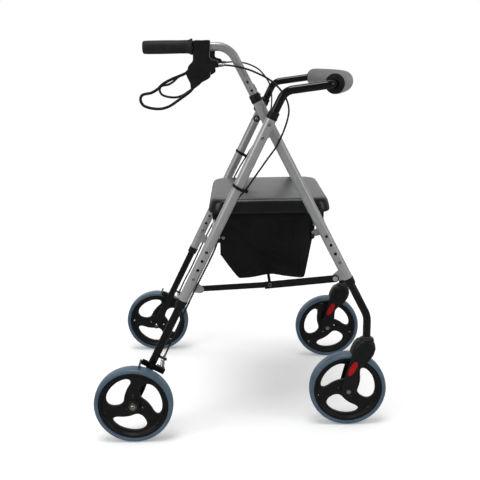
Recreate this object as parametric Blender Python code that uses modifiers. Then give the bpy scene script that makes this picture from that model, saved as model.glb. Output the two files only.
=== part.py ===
"""A four-wheeled walking frame: folding tube legs, seat, bag, backrest, loop brakes and casters.

Metres, +X to the front, +Y to the user's left, +Z up. The origin is on the floor, midway
between the axles and between the sides.
"""

from math import acos, atan2, cos, hypot, pi, radians, sin, tan

import bmesh
import bpy
from mathutils import Matrix, Vector

# Fit between pieces that touch
GAP = 0.0003

# Wheels
WHEEL_RADIUS = 0.100
WHEEL_SIDES = 40
TYRE_WIDTH = 0.033
TREAD_FLAT = 0.020
TYRE_THICKNESS = 0.0114
TYRE_EDGE = 0.0018
TYRE_SHOULDER = 0.0060
RIM_SIDES = 20
RIM_LIP = 0.0105
RIM_HALF = 0.0122
WEB_HALF = 0.0085
HUB_RADIUS = 0.0165
HUB_HALF = 0.0182
WHEEL_OPENINGS = 3
# A spoke gap as (share of the rim's radius, degrees from its middle), narrow end first
OPENING = [
    (0.785, -38), (0.690, -40), (0.430, -14), (0.315, 9), (0.330, 28),
    (0.480, 40), (0.650, 37), (0.785, 20), (0.808, -10),
]
# For each wheel, the way its gaps sweep and the heading of one gap's middle
WHEEL_TURN = {
    ("rear", -1): (1, 137),
    ("rear", 1): (1, 120),
    ("front", -1): (-1, 15),
    ("front", 1): (1, 43),
}
HALF_WHEELBASE = 0.2755
AXLE_RADIUS = 0.004
AXLE_FIT = 0.0004

# Legs, crossing at the fold pivot
PIVOT_X = 0.0715
PIVOT_Z = 0.793
FRONT_TILT = radians(26.9)
FRONT_LEG_Y = 0.225
LEG_PITCH = 0.030
LEG_SIDES = 16
TUBE_RADIUS = 0.0127
TUBE_WALL = 0.0015
INNER_RADIUS = 0.0100
INNER_WALL = 0.0015
REAR_TUBE_DOWN = 0.484
REAR_TUBE_UP = 0.0125
FRONT_TUBE_DOWN = 0.4385
FRONT_TUBE_UP = 0.0562
COLLAR_LENGTH = 0.0195
COLLAR_RADIUS = 0.0131
SLEEVE_LENGTH = 0.028
HOLE_PITCH = 0.0254
HOLE_COUNT = 3
HOLE_RADIUS = 0.0034
REAR_BUTTON_DOWN = 0.4234
FRONT_BUTTON_DOWN = 0.3930
LOWER_OVERLAP = 0.063

# Pivot hardware
PIVOT_BOLT_RADIUS = 0.004
PIVOT_HEAD_RADIUS = 0.0050
BOSS_RADIUS = 0.0095
SECOND_BOLT_DOWN = 0.0346
SECOND_BOLT_RADIUS = 0.003
SECOND_HEAD_RADIUS = 0.0048
STOP_PLATE_THICKNESS = 0.002
STOP_TIP = (0.0205, -0.0215)
WASHER_RADIUS = 0.0095

# Side braces
REAR_BOLT_DOWN = 0.4445
FRONT_BOLT_DOWN = 0.4210
GUSSET_REACH = 0.0285
GUSSET_THICKNESS = 0.003
BRACE_BOLT_RADIUS = 0.003
BRACE_THICKNESS = 0.0025
BRACE_LAYER_Y = 0.2355
BRACE_LAYER_GAP = 0.0005
MID_PIVOT_X = 0.0730
MID_PIVOT_Z = 0.3910
REAR_BRACE_WIDTH = 0.0130
FRONT_BRACE_WIDTH = 0.0175
PULL_BAR_RADIUS = 0.003
RIVET_RADIUS = 0.0052

# Cross tubes and seat
CROSS_RADIUS = 0.0095
CROSS_Z = 0.527
SEAT_REAR_X = -0.080
SEAT_FRONT_X = 0.232
SEAT_HALF_WIDTH = 0.180
SEAT_CORNER = 0.022
BOARD_BOTTOM_Z = 0.5695
BOARD_THICKNESS = 0.008
BOARD_INSET = 0.004
CUSHION_THICKNESS = 0.0205
BRACKET_Y = 0.128
BRACKET_THICKNESS = 0.004
BRACKET_WALL = 0.0045
FOOT_HALF_LENGTH = 0.0085

# Bag, hung between the cross tubes
BAG_HALF_WIDTH = 0.170
BAG_EDGE = 0.006
BAG_DROP = 0.0045
BAG_DEPTH = 0.1770
BAR_CLEARANCE = 0.008

# Handles
HANDLE_RISE = 0.1785
HANDLE_BEND = 0.050
HANDLE_TUBE_BELOW = 0.060
HANDLE_LOCK_UP = 0.0418
HANDLE_HOLE_PITCH = 0.022
HANDLE_HOLES = 4
GRIP_LENGTH = 0.1165
GRIP_BEHIND_BEND = 0.08494
GRIP_RADIUS = 0.0155
GRIP_FLANGE = 0.0185
HOUSING_HALF_WIDTH = 0.0130
HOUSING_WALL = 0.0047
HOUSING_BEVEL = 0.0035
LEVER_BEHIND_BEND = 0.07394
LEVER_DROP = 0.0685
LEVER_REACH = 0.1375
LEVER_PIN_RADIUS = 0.0025
LEVER_ROOT_HALF = 0.0042
LEVER_SLOT_HALF = 0.0047
LEVER_WIRE_RADIUS = 0.0033
FERRULE_BEHIND_BEND = 0.01244
FERRULE_LENGTH = 0.0185
FERRULE_OUT = 0.0080
FERRULE_DROP = 0.0425
FERRULE_RADIUS = 0.0038
KNOB_RADIUS = 0.0165
KNOB_LENGTH = 0.022
KNOB_LOBES = 6

# Backrest
BACKREST_BEND_Z = 0.869
BACKREST_CORNER = (0.2195, 0.8825)
BACKREST_BOW = 0.056
BACKREST_BEND_RADIUS = 0.035
BACKREST_CORNER_RADIUS = 0.022
PAD_RADIUS = 0.0248
PAD_HALF_WIDTH = 0.238
BACKREST_BELOW = 0.055

# Rear wheel mounting and brake
REAR_WHEEL_Y = 0.2985
PLATE_HALF = 0.003
PLATE_HALF_WIDTH = 0.013
FLATTEN_FROM = 0.055
FLATTEN_TO = 0.025
BRAKE_PIVOT_DROP = 0.0027
BRAKE_TILT = radians(29)
BRAKE_REAR_ARM = 0.0285
BRAKE_FRONT_ARM = 0.0360
BRAKE_WIDTH = 0.0125
BRAKE_THICKNESS = 0.003
BRAKE_STUD_RADIUS = 0.003
BRAKE_FOOT_RADIUS = 0.0038
BRAKE_FOOT_CLEARANCE = 0.0033
BRAKE_FOOT_AHEAD = 0.018
BRAKE_FOOT_SHORT = 0.003
BRAKE_STANDOFF = 0.0022
CABLE_STOP_UP = 0.135
CABLE_STOP_REACH = 0.029
CABLE_STOP_X = 0.0200
CABLE_STOP_OUT = 0.0070
CABLE_STOP_THICKNESS = 0.003

# Casters
STEM_X = 0.3223
STEM_RADIUS = 0.005
STEM_LENGTH = 0.046
FORK_RISE = 0.0410
FORK_WASHER = 0.0032
FORK_EDGE = 0.0035
LEG_BEND_RADIUS = 0.060
FORK_SLOT_HALF = 0.0185
FORK_ARM = 0.005
FORK_CLEARANCE = 0.0035
FORK_EYE = 0.0150
FORK_COLLAR = 0.0088

# Brake cables
CABLE_RADIUS = 0.0022
WIRE_RADIUS = 0.0009
CABLE_POINTS = 31

SIDES = {"left": 1, "right": -1}

COLOURS = {
    "silver": ((0.45, 0.45, 0.46), 0.38, 0.85),
    "black_metal": ((0.012, 0.012, 0.013), 0.40, 0.30),
    "black_plastic": ((0.020, 0.021, 0.021), 0.48, 0.0),
    "steel": ((0.55, 0.55, 0.56), 0.28, 1.0),
    "rubber_grip": ((0.018, 0.018, 0.019), 0.70, 0.0),
    "tyre": ((0.100, 0.150, 0.195), 0.75, 0.0),
    "foam": ((0.130, 0.130, 0.130), 0.90, 0.0),
    "vinyl": ((0.035, 0.035, 0.037), 0.50, 0.0),
    "nylon": ((0.010, 0.010, 0.010), 0.85, 0.0),
    "board": ((0.015, 0.015, 0.015), 0.55, 0.0),
}

# Sizes that follow from the ones above
REAR_TILT = atan2(PIVOT_X + HALF_WHEELBASE, PIVOT_Z - WHEEL_RADIUS)
REAR_LEG_Y = FRONT_LEG_Y + LEG_PITCH
FRONT_WHEEL_Y = FRONT_LEG_Y
AXLE_DOWN = hypot(PIVOT_X + HALF_WHEELBASE, PIVOT_Z - WHEEL_RADIUS)
VERTEX_RADIUS = WHEEL_RADIUS / cos(pi / WHEEL_SIDES)
BORE_RADIUS = INNER_RADIUS + GAP
RIM_RADIUS = WHEEL_RADIUS - TYRE_THICKNESS
FORK_TOP_Z = 2 * WHEEL_RADIUS + FORK_RISE
LEG_END_Z = FORK_TOP_Z + FORK_WASHER
HANDLE_Z = PIVOT_Z + HANDLE_RISE
HANDLE_BEND_X = PIVOT_X - HANDLE_RISE * tan(FRONT_TILT)
GRIP_FRONT_X = HANDLE_BEND_X - GRIP_BEHIND_BEND
GRIP_REAR_X = GRIP_FRONT_X - GRIP_LENGTH
LEVER_PIVOT = (HANDLE_BEND_X - LEVER_BEHIND_BEND, HANDLE_Z - LEVER_DROP)
FERRULE_TIP_X = HANDLE_BEND_X - FERRULE_BEHIND_BEND
FERRULE_Y = FRONT_LEG_Y + FERRULE_OUT
FERRULE_Z = HANDLE_Z - FERRULE_DROP
BRAKE_PIVOT_DOWN = AXLE_DOWN - WHEEL_RADIUS + BRAKE_PIVOT_DROP
CABLE_STOP_DOWN = AXLE_DOWN - CABLE_STOP_UP


def clear_scene():
    for old in list(bpy.data.objects):
        bpy.data.objects.remove(old, do_unlink=True)


def new_collection(name):
    found = bpy.data.collections.get(name) or bpy.data.collections.new(name)
    if found.name not in bpy.context.scene.collection.children:
        bpy.context.scene.collection.children.link(found)
    return found


def material(key):
    """One Principled material for each finish."""
    found = bpy.data.materials.get(key)
    if found:
        return found
    colour, roughness, metallic = COLOURS[key]
    made = bpy.data.materials.new(key)
    made.use_nodes = True
    shader = made.node_tree.nodes["Principled BSDF"]
    shader.inputs["Base Color"].default_value = (*colour, 1.0)
    shader.inputs["Roughness"].default_value = roughness
    shader.inputs["Metallic"].default_value = metallic
    made.diffuse_color = (*colour, 1.0)
    return made


clear_scene()
PARTS = new_collection("walker")
CUTTERS = new_collection("walker_cutters")


def empty(name, location, tilt=0.0):
    """A frame that pieces are placed in, turned about the Y axis."""
    made = bpy.data.objects.new(name, None)
    made.empty_display_size = 0.03
    made.location = location
    made.rotation_euler = (0, tilt, 0)
    PARTS.objects.link(made)
    return made


def piece(name, mesh, look, frame=None, location=(0, 0, 0)):
    """A named sub-part with its own finish."""
    made = bpy.data.objects.new(name, mesh)
    mesh.name = name
    mesh.materials.clear()
    mesh.materials.append(material(look))
    made.parent = frame
    made.location = location
    PARTS.objects.link(made)
    mesh.shade_smooth()
    mesh.set_sharp_from_angle(angle=radians(35))
    return made


def shape(mesh, frame=None, location=(0, 0, 0)):
    """A guide that is cut from a piece or joined to it."""
    made = bpy.data.objects.new("shape", mesh)
    made.parent = frame
    made.location = location
    made.hide_render = True
    made.display_type = "WIRE"
    CUTTERS.objects.link(made)
    return made


def boolean(target, tool, operation):
    step = target.modifiers.new(operation.lower(), "BOOLEAN")
    step.operation = operation
    step.solver = "EXACT"
    step.object = tool


def cut(target, mesh, frame=None, location=(0, 0, 0)):
    boolean(target, shape(mesh, frame or target.parent, location), "DIFFERENCE")


def join(target, mesh, frame=None, location=(0, 0, 0)):
    boolean(target, shape(mesh, frame or target.parent, location), "UNION")


def finish_mesh(name, work):
    """A bmesh as a closed mesh with its faces pointing out."""
    bmesh.ops.remove_doubles(work, verts=work.verts, dist=0.00001)
    bmesh.ops.recalc_face_normals(work, faces=work.faces)
    mesh = bpy.data.meshes.new(name)
    work.to_mesh(mesh)
    work.free()
    return mesh


def evaluated_mesh(made, turn=None):
    """The mesh that a temporary object's curve or modifiers give."""
    bpy.context.scene.collection.objects.link(made)
    bpy.context.view_layer.update()
    seen = made.evaluated_get(bpy.context.evaluated_depsgraph_get())
    raw = bpy.data.meshes.new_from_object(seen)
    work = bmesh.new()
    work.from_mesh(raw)
    if turn:
        bmesh.ops.transform(work, matrix=turn, verts=work.verts)
    bpy.data.objects.remove(made, do_unlink=True)
    bpy.data.meshes.remove(raw)
    return finish_mesh("turned", work)


def rod(radius, start, end, sides=16, radius_end=None):
    """A solid cylinder or cone between two points."""
    start = Vector(start)
    end = Vector(end)
    along = end - start
    turn = along.to_track_quat("Z", "Y").to_matrix().to_4x4()
    work = bmesh.new()
    bmesh.ops.create_cone(
        work,
        cap_ends=True,
        segments=sides,
        radius1=radius,
        radius2=radius if radius_end is None else radius_end,
        depth=along.length,
        matrix=Matrix.Translation((start + end) / 2) @ turn,
    )
    return finish_mesh("rod", work)


def box(low, high):
    """A block between two corners."""
    low = Vector(low)
    high = Vector(high)
    size = high - low
    work = bmesh.new()
    place = Matrix.Translation((low + high) / 2) @ Matrix.Diagonal((*size, 1.0))
    bmesh.ops.create_cube(work, size=1.0, matrix=place)
    return finish_mesh("box", work)


def turned(profile, axis="Z", sides=24, closed=False, phase=0.0):
    """A profile of (radius, height) pairs turned about an axis by the Screw modifier."""
    mesh = bpy.data.meshes.new("profile")
    points = [(radius * cos(phase), radius * sin(phase), height) for radius, height in profile]
    edges = [(i, i + 1) for i in range(len(points) - 1)]
    if closed:
        edges.append((len(points) - 1, 0))
    mesh.from_pydata(points, edges, [])
    made = bpy.data.objects.new("turned", mesh)
    screw = made.modifiers.new("turn", "SCREW")
    screw.steps = sides
    screw.render_steps = sides
    screw.use_merge_vertices = True
    screw.merge_threshold = 0.00001
    turn = {
        "X": Matrix.Rotation(radians(90), 4, "Y"),
        "Y": Matrix.Rotation(radians(-90), 4, "X"),
        "Z": None,
    }[axis]
    return evaluated_mesh(made, turn)


def tube(points, radius, sides=16, radii=None):
    """A round bar along points, with filled ends."""
    data = bpy.data.curves.new("tube", "CURVE")
    data.dimensions = "3D"
    data.bevel_depth = radius
    data.bevel_resolution = (sides - 4) // 2
    data.use_fill_caps = True
    data.resolution_u = 1
    spline = data.splines.new("POLY")
    spline.points.add(len(points) - 1)
    for i, place in enumerate(points):
        spline.points[i].co = (*place, 1.0)
        spline.points[i].radius = radii[i] / radius if radii else 1.0
    return evaluated_mesh(bpy.data.objects.new("tube", data))


def flat(outline, thickness, holes=(), upright=True, offset=0.0):
    """An outline of (x, z) points, or (x, y) when not upright, with a thickness about its middle."""
    data = bpy.data.curves.new("flat", "CURVE")
    data.dimensions = "2D"
    data.fill_mode = "BOTH"
    data.extrude = thickness / 2
    for loop in [outline, *holes]:
        spline = data.splines.new("POLY")
        spline.points.add(len(loop) - 1)
        spline.use_cyclic_u = True
        for i, place in enumerate(loop):
            spline.points[i].co = (place[0], place[1], 0.0, 1.0)
    turn = Matrix.Translation((0, 0, offset))
    if upright:
        turn = Matrix.Translation((0, offset, 0)) @ Matrix.Rotation(radians(90), 4, "X")
    return evaluated_mesh(bpy.data.objects.new("flat", data), turn)


def arc(centre, radius, start, end, steps):
    """Points on an arc in a plane, with angles in degrees."""
    angles = [radians(start + (end - start) * i / steps) for i in range(steps + 1)]
    return [(centre[0] + radius * cos(a), centre[1] + radius * sin(a)) for a in angles]


def circle(centre, radius, sides=12):
    return arc(centre, radius, 0, 360 * (sides - 1) / sides, sides - 1)


def stadium(start, end, half_width, steps=6):
    """A bar outline with round ends."""
    heading = atan2(end[1] - start[1], end[0] - start[0]) * 180 / pi
    return arc(end, half_width, heading - 90, heading + 90, steps) + arc(
        start, half_width, heading + 90, heading + 270, steps
    )


def rounded_path(corners, radii, steps=5):
    """Straight runs joined by arcs, one radius for each inner corner."""
    corners = [Vector(c) for c in corners]
    path = [corners[0]]
    for before, corner, after, radius in zip(corners, corners[1:], corners[2:], radii):
        back = (before - corner).normalized()
        ahead = (after - corner).normalized()
        half = acos(max(-1.0, min(1.0, back.dot(ahead)))) / 2
        centre = corner + (back + ahead).normalized() * radius / sin(half)
        first = corner + back * radius / tan(half) - centre
        last = corner + ahead * radius / tan(half) - centre
        first.normalize()
        last.normalize()
        path += [centre + first.slerp(last, i / steps) * radius for i in range(steps + 1)]
    path.append(corners[-1])
    return path


def rounded_corners(outline, radius, steps=3):
    """A flat outline with each corner rounded."""
    count = len(outline)
    points = []
    for i in range(count):
        before = Vector((*outline[i - 1], 0))
        corner = Vector((*outline[i], 0))
        after = Vector((*outline[(i + 1) % count], 0))
        room = min((before - corner).length, (after - corner).length) * 0.45
        back = (before - corner).normalized()
        ahead = (after - corner).normalized()
        half = acos(max(-1.0, min(1.0, back.dot(ahead)))) / 2
        reach = min(radius / tan(half), room)
        points += [
            (place.x, place.y)
            for place in rounded_path([before, corner, after], [reach * tan(half)], steps)[1:-1]
        ]
    return points


def loft(rings):
    """A closed skin through rings of as many points, with flat ends."""
    work = bmesh.new()
    made = [[work.verts.new(place) for place in ring] for ring in rings]
    count = len(rings[0])
    for low, high in zip(made, made[1:]):
        for i in range(count):
            j = (i + 1) % count
            work.faces.new((low[i], low[j], high[j], high[i]))
    work.faces.new(list(reversed(made[0])))
    work.faces.new(made[-1])
    return finish_mesh("loft", work)


def drawn_in(outline, inset):
    """A flat outline moved inwards along its own normals."""
    count = len(outline)
    points = []
    for i in range(count):
        before = Vector(outline[i - 1])
        after = Vector(outline[(i + 1) % count])
        along = (after - before).normalized()
        points.append((outline[i][0] - along.y * inset, outline[i][1] + along.x * inset))
    return points


def signed_area(outline):
    return sum(a[0] * b[1] - b[0] * a[1] for a, b in zip(outline, outline[1:] + outline[:1])) / 2


def pillow(outline, half_width, edge, steps=3):
    """An upright outline with a thickness and rounded rims."""
    turned_in = 1 if signed_area(outline) > 0 else -1
    rings = []
    for side_of in (-1, 1):
        for i in range(steps + 1):
            share = i / steps if side_of < 0 else 1 - i / steps
            inset = edge * (1 - sin(share * pi / 2))
            out = side_of * (half_width - edge * (1 - cos(share * pi / 2)))
            rings.append([(x, out, z) for x, z in drawn_in(outline, turned_in * inset)])
    return loft(rings)


def smooth_route(points, count):
    """Even points along a smooth curve through a route's own points."""
    points = [Vector(p) for p in points]
    padded = [2 * points[0] - points[1], *points, 2 * points[-1] - points[-2]]
    dense = []
    for a, b, c, d in zip(padded, padded[1:], padded[2:], padded[3:]):
        for i in range(16):
            t = i / 16
            dense.append(
                0.5
                * (
                    2 * b
                    + (c - a) * t
                    + (2 * a - 5 * b + 4 * c - d) * t**2
                    + (3 * b - a - 3 * c + d) * t**3
                )
            )
    dense.append(points[-1])
    lengths = [0.0]
    for a, b in zip(dense, dense[1:]):
        lengths.append(lengths[-1] + (b - a).length)
    even = []
    k = 0
    for i in range(count):
        want = lengths[-1] * i / (count - 1)
        while k < len(lengths) - 2 and lengths[k + 1] < want:
            k += 1
        share = (want - lengths[k]) / (lengths[k + 1] - lengths[k])
        even.append(dense[k].lerp(dense[k + 1], min(1.0, share)))
    return even


def on_leg(tilt, out, along, x=0.0, y=0.0):
    """World place of a point given in a leg's own frame."""
    return Vector(
        (
            PIVOT_X + x * cos(tilt) + along * sin(tilt),
            out + y,
            PIVOT_Z - x * sin(tilt) + along * cos(tilt),
        )
    )


# Frames that the legs are placed in
REAR = {}
FRONT = {}
for side_name, side in SIDES.items():
    REAR[side] = empty(f"rear_frame_{side_name}", (PIVOT_X, side * REAR_LEG_Y, PIVOT_Z), REAR_TILT)
    FRONT[side] = empty(
        f"front_frame_{side_name}", (PIVOT_X, side * FRONT_LEG_Y, PIVOT_Z), -FRONT_TILT
    )


# Silver leg tubes, each with a brace gusset, button holes and bolt holes


def button_holes(leg, button_down, side):
    """The button's hole and the free ones above it, through the outer wall."""
    for i in range(HOLE_COUNT + 1):
        up = -button_down + i * HOLE_PITCH
        cut(leg, rod(HOLE_RADIUS, (0, 0, up), (0, side * TUBE_RADIUS * 1.5, up), 6))


def gusset(down, reach, inner, outer):
    """A plate welded along the leg, with a rounded nose that takes the brace's bolt."""
    nose = WASHER_RADIUS
    heading = 0 if reach > 0 else 180
    root = reach * 0.15
    outline = [(root, -down - nose * 1.7)]
    outline += arc((reach, -down), nose, heading - 75, heading + 75, 4)
    outline += [(root, -down + nose * 1.7)]
    if reach < 0:
        outline[0], outline[-1] = outline[-1], outline[0]
    return flat(outline, outer - inner, offset=(inner + outer) / 2)


def rear_leg(side, side_name):
    leg = piece(
        f"rear_leg_{side_name}",
        rod(TUBE_RADIUS, (0, 0, -REAR_TUBE_DOWN), (0, 0, REAR_TUBE_UP), LEG_SIDES),
        "silver",
        REAR[side],
    )
    inner = BRACE_LAYER_Y + 2 * BRACE_THICKNESS + BRACE_LAYER_GAP + 4 * GAP - REAR_LEG_Y
    plate = sorted((side * inner, side * (inner + GUSSET_THICKNESS)))
    join(leg, gusset(REAR_BOLT_DOWN, GUSSET_REACH, *plate))
    brace_face = side * (BRACE_LAYER_Y + BRACE_THICKNESS + GAP - REAR_LEG_Y)
    brace_back = side * (BRACE_LAYER_Y - GAP - REAR_LEG_Y)
    spot = (GUSSET_REACH, -REAR_BOLT_DOWN)
    middle = side * (inner + GUSSET_THICKNESS / 2)
    profile = [
        (0.0, middle),
        (2 * BRACE_BOLT_RADIUS, middle),
        (2 * BRACE_BOLT_RADIUS, brace_face),
        (BRACE_BOLT_RADIUS, brace_face),
        (BRACE_BOLT_RADIUS, brace_back),
        (2.1 * BRACE_BOLT_RADIUS, brace_back),
        (2.1 * BRACE_BOLT_RADIUS, brace_back - side * 0.0015),
        (0.0, brace_back - side * 0.0027),
    ]
    join(leg, turned(profile, "Y", 8), location=(spot[0], 0, spot[1]))
    cut(leg, rod(TUBE_RADIUS - TUBE_WALL, (0, 0, -REAR_TUBE_DOWN - 0.01), (0, 0, 0.03), LEG_SIDES))
    button_holes(leg, REAR_BUTTON_DOWN, side)
    for down, radius in ((0.0, PIVOT_BOLT_RADIUS), (SECOND_BOLT_DOWN, SECOND_BOLT_RADIUS)):
        cut(leg, rod(radius + GAP, (0, -0.02, -down), (0, 0.02, -down), 8))


def front_leg(side, side_name):
    leg = piece(
        f"front_leg_{side_name}",
        rod(TUBE_RADIUS, (0, 0, -FRONT_TUBE_DOWN), (0, 0, FRONT_TUBE_UP), LEG_SIDES),
        "silver",
        FRONT[side],
    )
    brace_back = BRACE_LAYER_Y + BRACE_THICKNESS + BRACE_LAYER_GAP - GAP - FRONT_LEG_Y
    outer = BRACE_LAYER_Y - BRACE_THICKNESS / 2 - FRONT_LEG_Y
    plate = sorted((side * (outer - GUSSET_THICKNESS), side * outer))
    join(leg, gusset(FRONT_BOLT_DOWN, -GUSSET_REACH, *plate))
    brace_face = side * (brace_back + BRACE_THICKNESS + 2 * GAP)
    middle = side * (outer - GUSSET_THICKNESS / 2)
    profile = [
        (0.0, middle),
        (2 * BRACE_BOLT_RADIUS, middle),
        (2 * BRACE_BOLT_RADIUS, side * brace_back),
        (BRACE_BOLT_RADIUS, side * brace_back),
        (BRACE_BOLT_RADIUS, brace_face),
        (2.1 * BRACE_BOLT_RADIUS, brace_face),
        (2.1 * BRACE_BOLT_RADIUS, brace_face + side * 0.0012),
        (0.0, brace_face + side * 0.0024),
    ]
    join(leg, turned(profile, "Y", 8), location=(-GUSSET_REACH, 0, -FRONT_BOLT_DOWN))
    boss_face = side * (TUBE_RADIUS + 0.0020)
    join(leg, rod(BOSS_RADIUS, (0, side * 0.006, 0), (0, boss_face, 0), 12))
    lock = HANDLE_LOCK_UP
    join(leg, rod(0.0068, (0, side * 0.009, lock), (0, side * (TUBE_RADIUS + 0.0034), lock), 6))
    cut(leg, rod(TUBE_RADIUS - TUBE_WALL, (0, 0, -FRONT_TUBE_DOWN - 0.01), (0, 0, 0.07), LEG_SIDES))
    cut(leg, rod(PIVOT_BOLT_RADIUS + GAP, (0, 0, 0), (0, side * 0.02, 0), 10))
    cut(leg, rod(BRACE_BOLT_RADIUS + GAP, (0, 0, lock), (0, -side * 0.02, lock), 10))
    button_holes(leg, FRONT_BUTTON_DOWN, side)


def collar(name, frame, seat, direction, sleeve_length):
    """A plastic bush: a lip on the tube's mouth and a thin sleeve inside it."""
    lip = seat + direction * GAP
    end = lip + direction * COLLAR_LENGTH
    tip = seat - direction * sleeve_length
    sleeve = TUBE_RADIUS - TUBE_WALL - GAP
    profile = [
        (BORE_RADIUS, tip),
        (sleeve, tip),
        (sleeve, lip),
        (COLLAR_RADIUS, lip),
        (COLLAR_RADIUS - 0.0006, end),
        (BORE_RADIUS, end),
    ]
    piece(name, turned(profile, "Z", 14, closed=True), "black_plastic", frame)


for side_name, side in SIDES.items():
    rear_leg(side, side_name)
    front_leg(side, side_name)
    collar(f"rear_leg_collar_{side_name}", REAR[side], -REAR_TUBE_DOWN, -1, SLEEVE_LENGTH)
    collar(f"front_leg_collar_{side_name}", FRONT[side], -FRONT_TUBE_DOWN, -1, SLEEVE_LENGTH)
    above_lock = FRONT_TUBE_UP - HANDLE_LOCK_UP - BRACE_BOLT_RADIUS - 4 * GAP
    collar(f"handle_collar_{side_name}", FRONT[side], FRONT_TUBE_UP, 1, above_lock)


def backrest_collar(side, side_name):
    """The lip alone, because the backrest bar's bolts fill the tube below it."""
    low = REAR_TUBE_UP + GAP
    high = low + COLLAR_LENGTH
    profile = [
        (BORE_RADIUS, low),
        (COLLAR_RADIUS, low),
        (COLLAR_RADIUS - 0.0006, high),
        (BORE_RADIUS, high),
    ]
    mesh = turned(profile, "Z", 14, closed=True)
    piece(f"backrest_collar_{side_name}", mesh, "black_plastic", REAR[side])


# Fold pivot bolt and the stop plate between the legs


def pivot_bolt(side, side_name):
    """Through the rear leg into the boss on the front leg's outer wall."""
    tip = side * (FRONT_LEG_Y + INNER_RADIUS + 2 * GAP - REAR_LEG_Y)
    seat = side * (TUBE_RADIUS + GAP)
    profile = [
        (0.0, seat + side * 0.0032),
        (PIVOT_HEAD_RADIUS * 0.6, seat + side * 0.0028),
        (PIVOT_HEAD_RADIUS, seat + side * 0.0014),
        (PIVOT_HEAD_RADIUS, seat),
        (PIVOT_BOLT_RADIUS, seat),
        (PIVOT_BOLT_RADIUS, tip),
        (0.0, tip),
    ]
    piece(f"pivot_bolt_{side_name}", turned(profile, "Y", 12), "steel", REAR[side])


def stop_plate(side, side_name):
    """A plate against the rear leg's inner wall, held by the pivot bolt and a second bolt."""
    near = side * -(TUBE_RADIUS + GAP)
    far = near - side * STOP_PLATE_THICKNESS
    second = (0.0, -SECOND_BOLT_DOWN)
    outline = arc((0, 0), 0.0105, 20, 180, 5)
    outline += arc(second, 0.0095, 180, 330, 4)
    outline += [(STOP_TIP[0], STOP_TIP[1] - 0.003), (STOP_TIP[0], STOP_TIP[1] + 0.003)]
    hole = circle((0, 0), PIVOT_BOLT_RADIUS + 2 * GAP, 10)
    plate = piece(
        f"stop_plate_{side_name}",
        flat(outline, STOP_PLATE_THICKNESS, [hole], offset=(near + far) / 2),
        "silver",
        REAR[side],
    )
    seat = side * (TUBE_RADIUS + GAP)
    shank = SECOND_BOLT_RADIUS
    profile = [
        (0.0, seat + side * 0.0028),
        (SECOND_HEAD_RADIUS, seat + side * 0.0016),
        (SECOND_HEAD_RADIUS, seat),
        (shank, seat),
        (shank, (near + far) / 2),
        (WASHER_RADIUS, (near + far) / 2),
        (WASHER_RADIUS, far - side * 0.0014),
        (WASHER_RADIUS * 0.65, far - side * 0.0016),
        (0.0, far - side * 0.0060),
    ]
    join(plate, turned(profile, "Y", 8), location=(0, 0, -SECOND_BOLT_DOWN))


for side_name, side in SIDES.items():
    backrest_collar(side, side_name)
    pivot_bolt(side, side_name)
    stop_plate(side, side_name)


# Lower legs


def flattened_ring(along, half_x, half_y, squareness, count=12):
    ring = []
    for i in range(count):
        angle = 2 * pi * i / count
        power = 2 / squareness
        x = half_x * abs(cos(angle)) ** power * (1 if cos(angle) >= 0 else -1)
        y = half_y * abs(sin(angle)) ** power * (1 if sin(angle) >= 0 else -1)
        ring.append((x, y, along))
    return ring


def rear_lower_leg(side, side_name):
    """A tube pressed flat round the axle, with the brake's stud and the cable stop."""
    top = -REAR_BUTTON_DOWN + LOWER_OVERLAP
    rings = [
        flattened_ring(top, INNER_RADIUS, INNER_RADIUS, 2),
        flattened_ring(FLATTEN_FROM - AXLE_DOWN, INNER_RADIUS, INNER_RADIUS, 2),
        flattened_ring(FLATTEN_TO - AXLE_DOWN, PLATE_HALF_WIDTH, PLATE_HALF, 8),
    ]
    for turn in (0, 35, 65):
        half = PLATE_HALF_WIDTH * cos(radians(turn))
        down = AXLE_DOWN + PLATE_HALF_WIDTH * sin(radians(turn))
        rings.append(flattened_ring(-down, half, PLATE_HALF, 8))
    leg = piece(f"rear_lower_leg_{side_name}", loft(rings), "black_metal", REAR[side])
    low = -BRAKE_PIVOT_DOWN
    face = side * (INNER_RADIUS + BRAKE_STANDOFF)
    back = face + side * (BRAKE_THICKNESS + 2 * GAP)
    profile = [
        (0.0, side * 0.0090),
        (2 * BRAKE_STUD_RADIUS, side * 0.0090),
        (2 * BRAKE_STUD_RADIUS, face),
        (BRAKE_STUD_RADIUS, face),
        (BRAKE_STUD_RADIUS, back),
        (1.9 * BRAKE_STUD_RADIUS, back),
        (1.9 * BRAKE_STUD_RADIUS, back + side * 0.0022),
        (0.0, back + side * 0.0030),
    ]
    join(leg, turned(profile, "Y", 8), location=(0, 0, low))
    stop = -CABLE_STOP_DOWN
    low_y, high_y = sorted(side * (CABLE_STOP_OUT + k) for k in (-0.0060, 0.0055))
    half = CABLE_STOP_THICKNESS / 2
    join(leg, box((0.0060, low_y, stop - half), (CABLE_STOP_REACH, high_y, stop + half)))
    foot = FLATTEN_FROM - AXLE_DOWN + 0.02
    cut(leg, rod(INNER_RADIUS - INNER_WALL, (0, 0, top + 0.01), (0, 0, foot), 12))
    cut(leg, rod(AXLE_RADIUS + GAP, (0, -0.01, -AXLE_DOWN), (0, 0.01, -AXLE_DOWN), 12))
    wire_hole = (CABLE_STOP_X, side * CABLE_STOP_OUT)
    cut(leg, rod(WIRE_RADIUS + GAP * 2, (*wire_hole, stop - 0.01), (*wire_hole, stop + 0.01), 8))


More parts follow.
